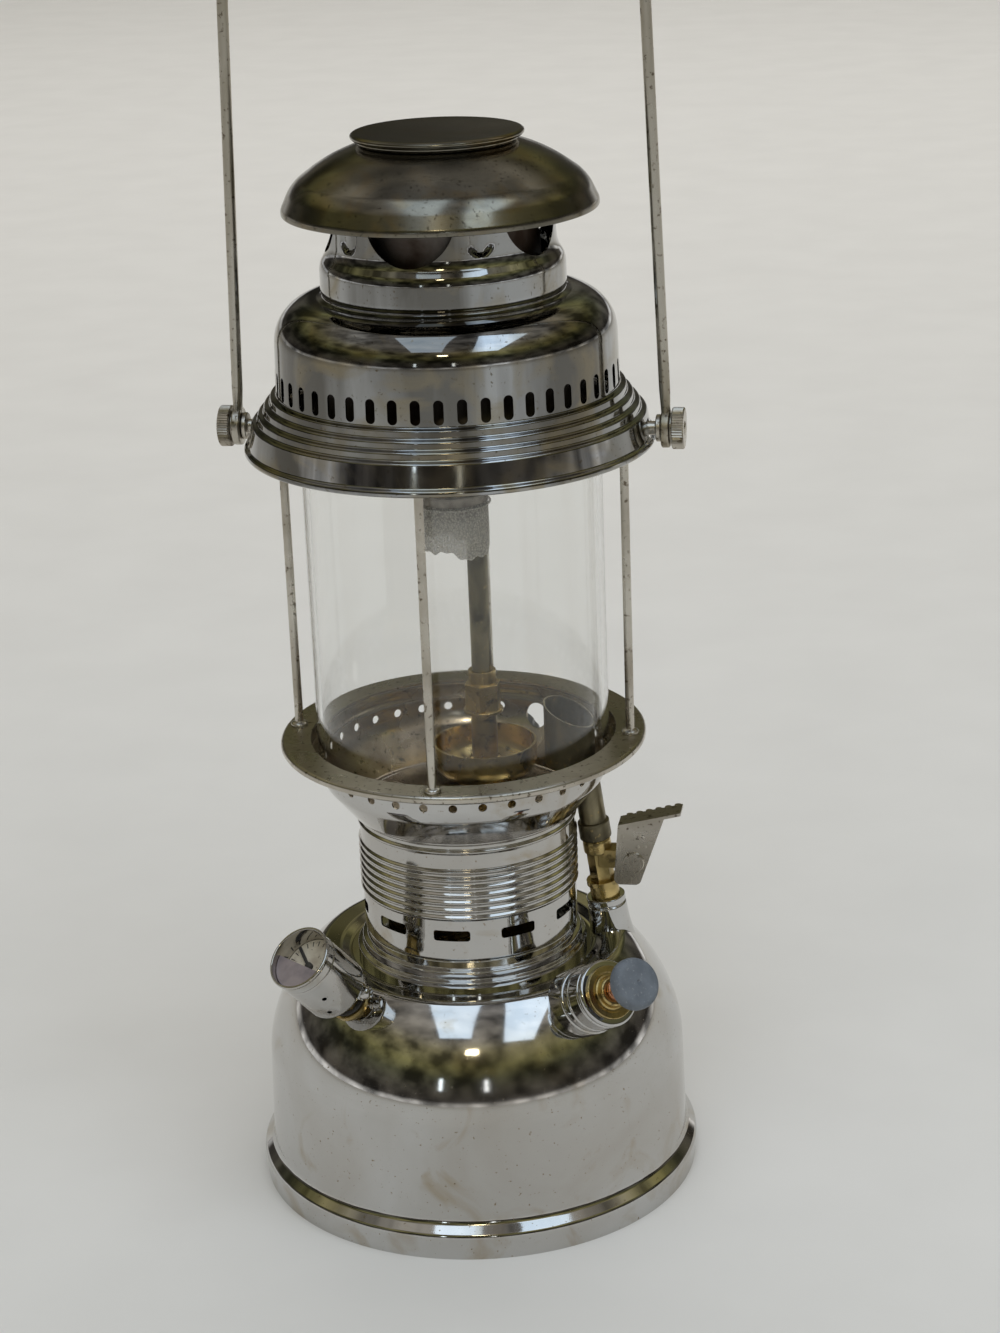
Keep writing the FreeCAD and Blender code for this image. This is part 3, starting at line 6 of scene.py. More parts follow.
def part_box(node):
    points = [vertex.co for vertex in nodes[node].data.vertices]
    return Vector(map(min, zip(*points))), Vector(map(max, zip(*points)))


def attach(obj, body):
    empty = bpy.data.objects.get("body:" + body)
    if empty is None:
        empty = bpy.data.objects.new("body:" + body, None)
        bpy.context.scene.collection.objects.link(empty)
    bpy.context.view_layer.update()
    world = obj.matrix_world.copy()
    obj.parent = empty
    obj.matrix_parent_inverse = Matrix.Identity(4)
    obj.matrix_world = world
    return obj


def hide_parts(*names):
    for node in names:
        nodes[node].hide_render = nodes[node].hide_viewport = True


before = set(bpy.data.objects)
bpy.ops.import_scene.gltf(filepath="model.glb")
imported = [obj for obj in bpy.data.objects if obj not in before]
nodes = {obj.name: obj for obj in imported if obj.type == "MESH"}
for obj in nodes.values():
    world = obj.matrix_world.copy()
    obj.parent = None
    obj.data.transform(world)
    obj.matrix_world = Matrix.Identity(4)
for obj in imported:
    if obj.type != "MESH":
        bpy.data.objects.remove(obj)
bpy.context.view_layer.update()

# The studio: a plain pale floor, two big cool lamps overhead like roof windows, a small warm lamp, a narrow
# pair in front and an even fill. The sky is pale at the horizon and dark and patchy above it, for the plate
# to mirror. The camera looks down on the lantern from the right.
MM = 0.001
bpy.ops.object.select_all(action="DESELECT")
bpy.ops.mesh.primitive_plane_add(size=30, location=(0, 0, 0))
floor = bpy.context.object
floor.name = "floor"

scene = bpy.context.scene
scene.view_settings.view_transform = "Standard"
camera_at = Vector((0.1888, -0.9803, 0.554))
aim, pitch, roll_left = math.radians(10.06), math.radians(19.47), math.radians(-2.26)
forward = Vector((-math.sin(aim) * math.cos(pitch), math.cos(aim) * math.cos(pitch), -math.sin(pitch)))
level = Vector((math.cos(aim), math.sin(aim), 0))
upward = level.cross(forward)
right = level * math.cos(roll_left) + upward * math.sin(roll_left)
top = upward * math.cos(roll_left) - level * math.sin(roll_left)
bpy.ops.object.camera_add(location=camera_at)
camera = bpy.context.object
camera.data.lens = 76.8
camera.data.sensor_width = 36
camera.data.clip_start = 0.01
turn = Matrix((right, top, -forward)).transposed()
camera.matrix_world = Matrix.Translation(camera_at) @ turn.to_4x4()
scene.camera = camera


def lamp(name, place, size, power, colour, down=None):
    """A soft rectangular lamp that faces the middle of the lantern, or straight down, turned by an angle."""
    bpy.ops.object.light_add(type="AREA", location=place)
    light = bpy.context.object
    light.name = name
    light.data.shape = "RECTANGLE"
    light.data.size, light.data.size_y = size
    light.data.energy = power
    light.data.color = colour
    light.rotation_euler = (Vector((0, 0, 0.25)) - Vector(place)).to_track_quat("-Z", "Y").to_euler()
    if down is not None:
        light.rotation_euler = (0, 0, math.radians(down))
    return light


bpy.ops.object.light_add(type="SUN", location=(0, -1, 3), rotation=(math.radians(28), math.radians(12), 0))
fill = bpy.context.object
fill.name = "even_fill"
fill.data.energy = 0.95
fill.data.angle = math.radians(70)
fill.visible_glossy = False
lamp("roof_window_left", (-0.20, -1.06, 2.09), (0.78, 1.75), 6.5, (0.66, 0.82, 1.0), 2)
lamp("roof_window_right", (1.20, -0.94, 2.09), (0.86, 1.95), 8.0, (0.66, 0.82, 1.0), 20)
lamp("warm_bulb", (0.34, -2.62, 2.05), (0.34, 0.17), 3.0, (1.0, 0.87, 0.58))
lamp("front_left", (-0.40, -2.3, 0.70), (0.07, 0.34), 0.25, (0.80, 0.92, 1.0))
lamp("front_right", (0.62, -2.3, 0.70), (0.07, 0.34), 0.25, (0.90, 0.96, 1.0))
behind = lamp("floor_behind", (0.0, 2.6, 2.6), (4.5, 3.4), 46, (1.0, 0.995, 0.985), 0)
behind.visible_glossy = False

world = bpy.data.worlds.new("studio")
scene.world = world
world.use_nodes = True
sky = world.node_tree
place_of = sky.nodes.new("ShaderNodeTexCoord")
apart = sky.nodes.new("ShaderNodeSeparateXYZ")
sky.links.new(place_of.outputs["Generated"], apart.inputs[0])
shade = sky.nodes.new("ShaderNodeValToRGB")
shade.color_ramp.elements[0].position = 0.0
shade.color_ramp.elements[0].color = (0.62, 0.615, 0.605, 1)
shade.color_ramp.elements[1].position = 0.98
shade.color_ramp.elements[1].color = (0.20, 0.195, 0.19, 1)
for height, colour in (
    (0.03, (0.50, 0.49, 0.47)), (0.06, (0.05, 0.045, 0.04)), (0.20, (0.075, 0.07, 0.055)),
    (0.34, (0.06, 0.06, 0.035)), (0.46, (0.15, 0.14, 0.06)), (0.60, (0.20, 0.18, 0.10)),
    (0.72, (0.23, 0.215, 0.185)),
):
    shade.color_ramp.elements.new(height).color = (*colour, 1)
sky.links.new(apart.outputs["Z"], shade.inputs[0])
patches = sky.nodes.new("ShaderNodeTexNoise")
patches.inputs["Scale"].default_value = 4.5
patches.inputs["Detail"].default_value = 5.0
sky.links.new(place_of.outputs["Generated"], patches.inputs["Vector"])
contrast = sky.nodes.new("ShaderNodeMapRange")
for key, value in (("From Min", 0.38), ("From Max", 0.66), ("To Min", 0.35), ("To Max", 2.0)):
    contrast.inputs[key].default_value = value
sky.links.new(patches.outputs["Fac"], contrast.inputs["Value"])
uneven = sky.nodes.new("ShaderNodeVectorMath")
uneven.operation = "SCALE"
sky.links.new(shade.outputs[0], uneven.inputs[0])
sky.links.new(contrast.outputs[0], uneven.inputs["Scale"])
sky.links.new(uneven.outputs[0], sky.nodes["Background"].inputs["Color"])
sky.nodes["Background"].inputs["Strength"].default_value = 1.0


def finish(name, colour, roughness, metallic=0.0):
    """A new material, and a way to add a node to it whose inputs are values or other nodes' outputs."""
    material = bpy.data.materials.new(name)
    material.use_nodes = True
    tree = material.node_tree
    shader = tree.nodes["Principled BSDF"]
    shader.inputs["Base Color"].default_value = (*colour, 1)
    shader.inputs["Roughness"].default_value = roughness
    shader.inputs["Metallic"].default_value = metallic

    def add(kind, inputs=(), **settings):
        node = tree.nodes.new("ShaderNode" + kind)
        for key, value in settings.items():
            setattr(node, key, value)
        for key, value in dict(inputs).items():
            if isinstance(value, bpy.types.NodeSocket):
                tree.links.new(value, node.inputs[key])
            else:
                node.inputs[key].default_value = value
        return node

    def give(key, socket):
        tree.links.new(socket, shader.inputs[key])

    return material, add, give


def spots(add, scale, low, high, detail=4.0, stretch=(1, 1, 1), warp=0.0):
    """A patchy mask from noise on the object's own coordinates: 0 below low, 1 above high."""
    where = add("TexCoord").outputs["Object"]
    where = add("Mapping", {"Vector": where, "Scale": stretch}).outputs[0]
    noise = add("TexNoise", {"Vector": where, "Scale": scale, "Detail": detail, "Distortion": warp})
    steps = {"Value": noise.outputs["Fac"], "From Min": low, "From Max": high}
    return add("MapRange", steps).outputs[0]


def blend_of(add, mask, first, second):
    """A colour that goes from the first to the second as the mask goes from 0 to 1."""
    mix = add("Mix", data_type="RGBA")
    for index, value in ((0, mask), (6, first), (7, second)):
        if isinstance(value, bpy.types.NodeSocket):
            mix.id_data.links.new(value, mix.inputs[index])
        elif index == 0:
            mix.inputs[index].default_value = value
        else:
            mix.inputs[index].default_value = (*value, 1)
    return mix.outputs[2]


pale, add, give = finish("pale_floor", (0.78, 0.77, 0.75), 0.9)
give("Base Color", blend_of(add, spots(add, 14, 0.3, 0.7), (0.76, 0.75, 0.735), (0.79, 0.78, 0.765)))
floor.data.materials.append(pale)

# The tank: a spun brass shell, nickel and chrome plated, with a foot bead, a nearly straight wall and a
# round shoulder that rises to a low crest round the neck. The floor disc is pressed in from below.


def between(add, mask, low, high):
    """A value that goes from low to high as the mask goes from 0 to 1."""
    return add("MapRange", {"Value": mask, "To Min": low, "To Max": high}).outputs[0]


def noise_of(add, scale, detail):
    """Plain noise on the object's own coordinates."""
    where = add("TexCoord").outputs["Object"]
    return add("TexNoise", {"Vector": where, "Scale": scale, "Detail": detail}).outputs["Fac"]


def relief_of(add, height, depth, strength):
    """A small relief from a mask, its depth in metres."""
    return add("Bump", {"Height": height, "Distance": depth, "Strength": strength}).outputs[0]


bright, add, give = finish("bright_plate", (0.54, 0.53, 0.515), 0.07, 1.0)
haze = spots(add, 16, 0.36, 0.70, 5.0, warp=0.6)
specks = spots(add, 760, 0.68, 0.76, 2.0)
worn = spots(add, 38, 0.56, 0.80, 8.0, warp=1.2)
tint = blend_of(add, haze, (0.575, 0.57, 0.56), (0.47, 0.445, 0.41))
tint = blend_of(add, worn, tint, (0.40, 0.34, 0.25))
give("Base Color", blend_of(add, specks, tint, (0.30, 0.25, 0.18)))
rough = between(add, haze, 0.04, 0.11)
dull_specks = add("Math", {0: specks, 1: 0.25}, operation="MULTIPLY").outputs[0]
give("Roughness", add("Math", {0: rough, 1: dull_specks}, operation="ADD").outputs[0])
dents = noise_of(add, 26.0, 1.0)
scuffs = spots(add, 900, 0.62, 0.8, 3.0, (1, 1, 0.12))
fine_scuffs = add("Math", {0: scuffs, 1: 0.02}, operation="MULTIPLY").outputs[0]
relief = add("Math", {0: dents, 1: fine_scuffs}, operation="ADD").outputs[0]
give("Normal", relief_of(add, relief, 0.0004, 0.35))


def turned(name, rings, sides=192, steps=6, shape="open"):
    """A turned skin about Z, drawn up through rings of (radius, height, rounding) in mm.

    The shape is open, closed on itself, or capped over both ends.
    """
    bpy.ops.object.select_all(action="DESELECT")
    first = rings[0]
    bpy.ops.mesh.primitive_circle_add(vertices=sides, radius=first[0] * MM, location=(0, 0, first[1] * MM))
    piece = bpy.context.object
    piece.name = name
    bpy.ops.object.transform_apply(location=True, rotation=True, scale=True)
    bpy.ops.object.mode_set(mode="EDIT")
    bpy.ops.mesh.select_all(action="SELECT")
    for before, ring in zip(rings, rings[1:]):
        rise = (ring[1] - before[1]) * MM
        grow = ring[0] / before[0]
        bpy.ops.mesh.extrude_region_move(TRANSFORM_OT_translate={"value": (0, 0, rise)})
        bpy.ops.transform.resize(value=(grow, grow, 1), center_override=(0, 0, 0))
    bpy.ops.object.mode_set(mode="OBJECT")
    largest = max([ring[2] for ring in rings if len(ring) > 2], default=0)
    if largest > 0:
        weights = piece.data.attributes.new("bevel_weight_edge", "FLOAT", "EDGE")
        for edge in piece.data.edges:
            row, other = edge.vertices[0] // sides, edge.vertices[1] // sides
            if row == other and len(rings[row]) > 2:
                weights.data[edge.index].value = rings[row][2] / largest
    bpy.ops.object.mode_set(mode="EDIT")
    bpy.ops.mesh.select_mode(type="EDGE")
    bpy.ops.mesh.select_all(action="DESELECT")
    bpy.ops.mesh.select_non_manifold()
    if shape == "closed":
        bpy.ops.mesh.bridge_edge_loops()
    if shape == "capped":
        bpy.ops.mesh.fill_holes(sides=0)
    bpy.ops.mesh.select_all(action="SELECT")
    bpy.ops.mesh.remove_doubles(threshold=0.000001)
    bpy.ops.mesh.normals_make_consistent(inside=False)
    bpy.ops.object.mode_set(mode="OBJECT")
    if largest > 0:
        rounding = piece.modifiers.new("rounding", "BEVEL")
        rounding.limit_method = "WEIGHT"
        rounding.width = largest * MM
        rounding.segments = steps
        rounding.use_clamp_overlap = False
        bpy.ops.object.modifier_apply(modifier=rounding.name)
    return piece


def walled(piece, thickness):
    """Gives an open skin its sheet thickness, in mm, on the inside."""
    bpy.context.view_layer.objects.active = piece
    wall = piece.modifiers.new("wall", "SOLIDIFY")
    wall.thickness = thickness * MM
    wall.offset = -1
    wall.use_even_offset = True
    bpy.ops.object.modifier_apply(modifier=wall.name)
    return piece


def dressed(piece, material, slot, body, *stands_for):
    """Shades a finished piece, gives it its material and body, and hides the nodes it stands for."""
    bpy.ops.object.select_all(action="DESELECT")
    piece.select_set(True)
    bpy.context.view_layer.objects.active = piece
    bpy.ops.object.shade_smooth_by_angle(angle=math.radians(32))
    even = piece.modifiers.new("even", "WEIGHTED_NORMAL")
    even.keep_sharp = True
    bpy.ops.object.modifier_apply(modifier=even.name)
    piece.data.materials.clear()
    piece.data.materials.append(material)
    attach(piece, body)
    if stands_for:
        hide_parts(*stands_for)
    return piece


def in_place(piece, matrix):
    """Moves a piece from the origin to where it goes, and leaves its object at the origin."""
    bpy.ops.object.select_all(action="DESELECT")
    piece.select_set(True)
    bpy.context.view_layer.objects.active = piece
    piece.matrix_world = matrix
    bpy.ops.object.transform_apply(location=True, rotation=True, scale=True)
    return piece


def pierced(piece, cutter):
    """Cuts one solid out of another."""
    bpy.context.view_layer.objects.active = piece
    cut = piece.modifiers.new("cut", "BOOLEAN")
    cut.operation = "DIFFERENCE"
    cut.solver = "EXACT"
    cut.object = cutter
    bpy.ops.object.modifier_apply(modifier=cut.name)
    bpy.data.objects.remove(cutter)
    return piece


def ring_of(pattern, count, first=0.0, without=()):
    """Copies a piece evenly round Z from an azimuth in degrees, leaves some out, and joins the copies."""
    bpy.ops.object.select_all(action="DESELECT")
    for index in range(count):
        if index in without:
            continue
        copy = pattern.copy()
        copy.data = pattern.data.copy()
        bpy.context.collection.objects.link(copy)
        copy.matrix_world = Matrix.Rotation(math.radians(first + 360 / count * index), 4, "Z")
        copy.select_set(True)
        bpy.context.view_layer.objects.active = copy
    bpy.data.objects.remove(pattern)
    bpy.ops.object.join()
    bpy.ops.object.transform_apply(location=True, rotation=True, scale=True)
    return bpy.context.object


tank = turned("tank", [
    (84.3, 0), (84.3, 1.5), (85, 9.5, 1.2), (81, 13.5, 1.4), (79.25, 75.4, 24.6),
    (57.9, 91.95, 1.7), (50.5, 91, 0.8), (47, 89.2, 0.8), (26, 89.2),
], steps=24)
walled(tank, 0.8)
dressed(tank, bright, "chrome", "root", "tank_shell")

# The neck: a turned ring in three low steps that is soldered into the tank's crown. The collar stands on it,
# and it carries the burner.
neck = turned("neck", [
    (44, 89.0), (44, 92.6, 0.5), (42.05, 93.0, 0.3), (42.05, 96.2, 0.5), (40.1, 96.6, 0.3),
    (40.1, 99.8, 0.5), (38.2, 100.2, 0.3), (30, 100.2),
])
walled(neck, 2.0)
dressed(neck, bright, "chrome", "root", "tank_neck")

# The pump: a chromed boss and screw cap hold a brass barrel in the tank. A copper-coloured rod passes a
# brass guide to a plain grey push knob; the piston, its leather and the check valve are inside.


def leaning(radius, height, azimuth, lean):
    """The frame of a fitting that leans out of the tank: Z is its axis, X runs round the tank."""
    turn, rise = math.radians(azimuth), math.radians(lean)
    x = Vector((math.cos(turn), math.sin(turn), 0))
    z = Vector((math.sin(turn) * math.cos(rise), -math.cos(turn) * math.cos(rise), math.sin(rise)))
    at = Matrix.Translation((radius * math.sin(turn) * MM, -radius * math.cos(turn) * MM, height * MM))
    return at @ Matrix((x, z.cross(x), z)).transposed().to_4x4()


pump = leaning(75.0, 92.8, 48.5, 31.0)
boss = turned("pump_boss", [(8.7, -16), (13, -16, 0.5), (13, -6.2, 0.9), (8.7, -6.2)], 96, shape="closed")
dressed(in_place(boss, pump), bright, "chrome", "root", "pump_barrel")
barrel = turned("pump_tube", [(8.7, -108), (9.5, -108), (9.5, -16), (8.7, -16)], 64, shape="closed")
cap = turned("pump_cap_shell", [
    (8.7, -6), (12.5, -6, 0.6), (12.5, -3.4, 0.3), (12.1, -3.1, 0.2), (12.1, -2.7, 0.2), (12.5, -2.4, 0.3),
    (12.5, 3.0, 0.3), (12.05, 3.3, 0.2), (12.05, 3.8, 0.2), (12.5, 4.1, 0.3), (12.5, 6.0, 1.1), (10, 6.0),
    (10, 3), (8.7, 3),
], 96, shape="closed")
dressed(in_place(cap, pump), bright, "chrome", "root", "pump_cap")

aged, add, give = finish("aged_brass", (0.50, 0.37, 0.15), 0.32, 1.0)
patina = spots(add, 55, 0.42, 0.70, 6.0, warp=0.8)
grime = spots(add, 240, 0.58, 0.72, 3.0)
tint = blend_of(add, patina, (0.66, 0.50, 0.22), (0.30, 0.235, 0.10))
give("Base Color", blend_of(add, grime, tint, (0.13, 0.10, 0.05)))
give("Roughness", between(add, patina, 0.22, 0.46))
grain = noise_of(add, 1400.0, 3.0)
give("Normal", relief_of(add, grain, 0.0001, 0.4))
dressed(in_place(barrel, pump), aged, "brass", "root")

guide = turned("pump_guide", [
    (3.1, 6), (9.9, 6), (9.9, 7, 0.3), (7.6, 7.05, 0.2), (7.2, 6.8, 0.2), (6.4, 6.8, 0.2), (5.9, 7.2, 0.2),
    (5.5, 9.5, 0.8), (3.1, 9.5),
], 64, shape="closed")
dressed(in_place(guide, pump), aged, "brass", "root", "pump_bush")

copper, add, give = finish("coppered_rod", (0.50, 0.22, 0.12), 0.3, 1.0)
streaks = spots(add, 160, 0.40, 0.70, 5.0)
give("Base Color", blend_of(add, streaks, (0.58, 0.27, 0.15), (0.28, 0.13, 0.08)))
give("Roughness", between(add, streaks, 0.22, 0.5))
rod = turned("pump_stem", [
    (3, -99), (3, 9.6), (3.9, 9.8, 0.3), (3.9, 11.2, 0.3), (3.2, 11.6, 0.2), (3.2, 19.3),
], 48, shape="capped")
dressed(in_place(rod, pump), copper, "brass", "pump_plunger", "pump_rod")

slate, add, give = finish("slate_knob", (0.15, 0.17, 0.20), 0.62)
mottle = spots(add, 190, 0.35, 0.68, 6.0)
dust = spots(add, 900, 0.60, 0.72, 2.0)
tint = blend_of(add, mottle, (0.12, 0.14, 0.17), (0.17, 0.195, 0.23))
give("Base Color", blend_of(add, dust, tint, (0.24, 0.255, 0.28)))
give("Roughness", between(add, mottle, 0.50, 0.72))
give("Normal", relief_of(add, mottle, 0.0001, 0.5))
knob = turned("push_knob", [
    (3.3, 19.4), (8.6, 19.4, 0.7), (9.5, 20.4, 0.6), (9.5, 23.9, 1.3), (8.2, 25.2, 1.0), (1.0, 25.2, 0.2),
    (0.7, 24.8, 0.1), (0.05, 24.8),
], 96, shape="capped")
dressed(in_place(knob, pump), slate, "knob_grey", "pump_plunger", "pump_knob")

# The filler and gauge: a hexagon cap screws on the filler neck, and the gauge's chromed cup is soldered to
# it, with two small sight holes, a cream dial, a half plate over it and a black pointer.


def block(size, place):
    """A plain block in mm, about the place of its middle."""
    bpy.ops.object.select_all(action="DESELECT")
    bpy.ops.mesh.primitive_cube_add(size=1, location=[part * MM for part in place])
    piece = bpy.context.object
    piece.scale = [part * MM for part in size]
    bpy.ops.object.transform_apply(location=True, rotation=True, scale=True)
    return piece


def cylinder(radius, length, place, sides, lying=True):
    """A plain cylinder in mm, about the place of its middle, that lies along Y or stands upright."""
    bpy.ops.object.select_all(action="DESELECT")
    bpy.ops.mesh.primitive_cylinder_add(
        vertices=sides, radius=radius * MM, depth=length * MM, location=[part * MM for part in place],
        rotation=(math.pi / 2 if lying else 0, 0, 0))
    bpy.ops.object.transform_apply(location=True, rotation=True, scale=True)
    return bpy.context.object


gauge = leaning(86.5, 113.4, -36.4, 48.0)
cup = turned("gauge_cup", [
    (11.5, -1.0), (11.5, -0.3, 0.2), (11.95, 0.0, 0.25), (12.5, -0.25, 0.3), (12.65, -0.8, 0.3),
    (12.4, -1.5, 0.3), (12.4, -4.6, 0.2), (12.2, -4.9, 0.15), (12.4, -5.2, 0.2), (12.4, -25.4, 1.0),
    (9.0, -27.4, 0.8), (7.0, -28, 0.4), (0.5, -28), (0.5, -25.1), (11.5, -25.1, 0.6),
], 128, shape="closed")
for drop, round_by in ((0, 52), (8, 38)):
    hole = cylinder(0.9, 8, (0, -12, -13), 24)
    hole_at = Matrix.Translation((0, 0, -drop * MM)) @ Matrix.Rotation(math.radians(round_by), 4, "Z")
    pierced(cup, in_place(hole, hole_at))
dressed(in_place(cup, gauge), bright, "chrome", "filler_cap", "gauge_case")

cream, add, give = finish("dial_card", (0.66, 0.61, 0.50), 0.55)
stain = spots(add, 150, 0.40, 0.75, 5.0)
tint = blend_of(add, stain, (0.66, 0.61, 0.50), (0.40, 0.345, 0.27))
give("Base Color", blend_of(add, spots(add, 700, 0.62, 0.72, 2.0), tint, (0.22, 0.18, 0.14)))
dial = turned("dial_card", [(11.4, -8.6), (11.4, -8.0, 0.1), (1.2, -7.95), (0.05, -7.95)], 96, shape="capped")
dressed(in_place(dial, gauge), cream, "dial", "filler_cap", "gauge_dial")
black, add, give = finish("black_enamel", (0.03, 0.03, 0.032), 0.4)
give("Base Color", blend_of(add, spots(add, 300, 0.45, 0.75), (0.025, 0.025, 0.028), (0.07, 0.065, 0.06)))
mark = block((0.35, 2.0, 0.06), (0, 9.6, -7.92))
edge = mark.modifiers.new("edge", "BEVEL")
edge.width = 0.02 * MM
bpy.ops.object.modifier_apply(modifier=edge.name)
marks = ring_of(mark, 24)
marks.name = "dial_marks"
dressed(in_place(marks, gauge), black, "pointer", "filler_cap")

plum, add, give = finish("half_plate", (0.30, 0.265, 0.28), 0.5, 0.3)
stain = spots(add, 120, 0.40, 0.72, 5.0)
give("Base Color", blend_of(add, stain, (0.36, 0.31, 0.325), (0.20, 0.175, 0.19)))
give("Roughness", between(add, stain, 0.4, 0.6))
plate = turned("half_plate", [(11.4, -3.2), (11.4, -2.6, 0.15), (0.05, -2.6)], 96, shape="capped")
bpy.ops.object.mode_set(mode="EDIT")
bpy.ops.mesh.select_all(action="SELECT")
bpy.ops.mesh.bisect(plane_co=(0, -1.5 * MM, 0), plane_no=(0, 1, 0), use_fill=True, clear_outer=True)
bpy.ops.object.mode_set(mode="OBJECT")
dressed(in_place(plate, gauge), plum, "dial_mask", "filler_cap", "gauge_mask")


def as_built(name, node, material, slot, body, rounding=0.0):
    """A smooth copy of a node, merged where its triangles meet, with its edges eased."""
    bpy.ops.object.select_all(action="DESELECT")
    piece = nodes[node].copy()
    piece.data = nodes[node].data.copy()
    piece.parent = None
    piece.matrix_world = Matrix.Identity(4)
    piece.name = name
    bpy.context.collection.objects.link(piece)
    piece.select_set(True)
    bpy.context.view_layer.objects.active = piece
    bpy.ops.object.mode_set(mode="EDIT")
    bpy.ops.mesh.select_all(action="SELECT")
    bpy.ops.mesh.remove_doubles(threshold=0.00001)
    bpy.ops.mesh.dissolve_limited(angle_limit=math.radians(1))
    bpy.ops.object.mode_set(mode="OBJECT")
    if rounding:
        ease = piece.modifiers.new("ease", "BEVEL")
        ease.width = rounding * MM
        ease.segments = 3
        ease.angle_limit = math.radians(40)
        bpy.ops.object.modifier_apply(modifier=ease.name)
    return dressed(piece, material, slot, body, node)


as_built("dial_pointer", "gauge_pointer", black, "pointer", "pointer", 0.08)
as_built("filler_hexagon", "filler_nut", aged, "brass", "filler_cap", 0.3)

collar_ring = turned("gauge_seat", [(6.9, -28.4), (7.6, -28.4, 0.2), (7.6, -27.6, 0.3), (6.9, -27.6)], 64,
                     shape="closed")
dressed(in_place(collar_ring, gauge), bright, "chrome", "filler_cap")
away = Matrix.Rotation(math.radians(25), 4, "Z") @ Matrix.Rotation(math.radians(90), 4, "Y")
screw_at = gauge @ Matrix.Translation((0, 0, -30.5 * MM)) @ away
screw = turned("release_knob", [
    (1.6, 1.0), (1.6, 7.2), (2.9, 7.4, 0.2), (2.9, 8.2, 0.2), (2.2, 8.4, 0.15), (2.6, 8.9, 0.3),
    (2.6, 10.8, 0.8), (1.9, 12.0, 0.6), (0.3, 12.0),
], 48, shape="capped")
dressed(in_place(screw, screw_at), bright, "chrome", "release_screw", "release_screw")

# The collar: a plated cylinder with ten air slots low down, seven rolled ribs and two beads at its top.
# It stands on the neck and is screwed up under the bowl.


def slot_cutter(size, place, rounding, steps):
    """A block in mm whose four edges along Y are rounded."""
    slot = block(size, place)
    bpy.ops.object.mode_set(mode="EDIT")
    bpy.ops.mesh.select_mode(type="EDGE")
    bpy.ops.mesh.select_all(action="DESELECT")
    bpy.ops.object.mode_set(mode="OBJECT")
    for line in slot.data.edges:
        first, last = (slot.data.vertices[index].co for index in line.vertices)
        line.select = abs(first.y - last.y) > MM
    bpy.ops.object.mode_set(mode="EDIT")
    bpy.ops.mesh.bevel(offset=rounding * MM, segments=steps, affect="EDGES")
    bpy.ops.object.mode_set(mode="OBJECT")
    return slot


wall_radius, rib_radius, rib_pitch, half_rib = 40.7, 41.8, 3.07, 1.15
profile = [(37.6, 100.3), (wall_radius, 100.3, 0.7)]
for height in [117.5 + rib_pitch * count for count in range(7)] + [143.9, 147.4]:
    profile += [(wall_radius, height - half_rib, 0.25), (rib_radius, height, 0.62),
                (wall_radius, height + half_rib, 0.25)]
profile[-1] = (wall_radius, 148.6)
collar = walled(turned("collar", profile, 240, 4), 0.7)
pierced(collar, ring_of(slot_cutter((13.8, 6, 4.2), (0, -wall_radius, 110.3), 1.1, 4), 10))
dressed(collar, bright, "chrome", "root", "ribbed_collar")

# The bowl: a spun dish with a ring of small air holes under its brim, a lighting hole at the back and one
# where the torch's tube comes in. The glass stands on the step inside its brim.
bowl = turned("bowl", [
    (5.2, 148.5), (42.6, 148.5, 0.7), (53.6, 162.2, 3.4), (54.4, 170.3, 0.7), (57.9, 170.3, 0.7),
    (57.9, 175.2, 0.7), (62, 175.2),
], 256)
walled(bowl, 0.7)
air_hole = cylinder(1.6, 12, (0, -54, 166.9), 20)
pierced(bowl, ring_of(air_hole, 32, 360 / 64, (13, 14)))
lighting_hole = cylinder(4.8, 12, (0, -54, 164.7), 40)
pierced(bowl, in_place(lighting_hole, Matrix.Rotation(math.radians(157.5), 4, "Z")))
torch = leaning(54.3, 89.61, 108.0, 97.4)
tube_hole = cylinder(5.15, 30, (0, 0, 64), 48, lying=False)
pierced(bowl, in_place(tube_hole, torch))
sooted, add, give = finish("sooted_plate", (0.42, 0.37, 0.30), 0.25, 1.0)
soot = spots(add, 42, 0.36, 0.68, 6.0, warp=0.7)
tint = blend_of(add, soot, (0.56, 0.50, 0.41), (0.24, 0.19, 0.14))
give("Base Color", blend_of(add, spots(add, 420, 0.6, 0.72, 3.0), tint, (0.10, 0.085, 0.07)))
give("Roughness", between(add, soot, 0.14, 0.42))
dressed(bowl, bright, "chrome", "root", "gallery_bowl")
bowl.data.materials.append(sooted)
brim_height = 175 * MM
for face in bowl.data.polygons:
    inward = face.normal.x * face.center.x + face.normal.y * face.center.y < 0
    if face.center.z < brim_height and (inward or face.normal.z > 0.5):
        face.material_index = 1

# The gallery ring: a flat nickelled ring with a rolled edge, riveted to the bowl's brim. The four rods of
# the cage screw into it.
satin, add, give = finish("satin_nickel", (0.50, 0.47, 0.42), 0.34, 1.0)
cloud = spots(add, 34, 0.38, 0.70, 6.0, warp=0.5)
pits = spots(add, 480, 0.60, 0.70, 3.0)
tint = blend_of(add, cloud, (0.60, 0.565, 0.50), (0.38, 0.335, 0.27))
give("Base Color", blend_of(add, pits, tint, (0.17, 0.14, 0.105)))
give("Roughness", between(add, cloud, 0.22, 0.42))
scratch = spots(add, 700, 0.5, 0.8, 4.0, (1, 1, 0.1))
give("Normal", relief_of(add, scratch, 0.0001, 0.35))
ring = turned("gallery_ring_plate", [
    (57.2, 175.95), (65.3, 175.95, 0.2), (65.4, 174.6, 0.5), (66.1, 173.95, 0.5), (67.7, 173.95, 0.5),
    (68.4, 174.6, 0.4), (68.4, 176.2, 0.4), (67.6, 176.9, 0.4), (57.2, 176.9, 0.15),
], 192, 4, "closed")
dressed(ring, satin, "nickel", "root", "gallery_ring")

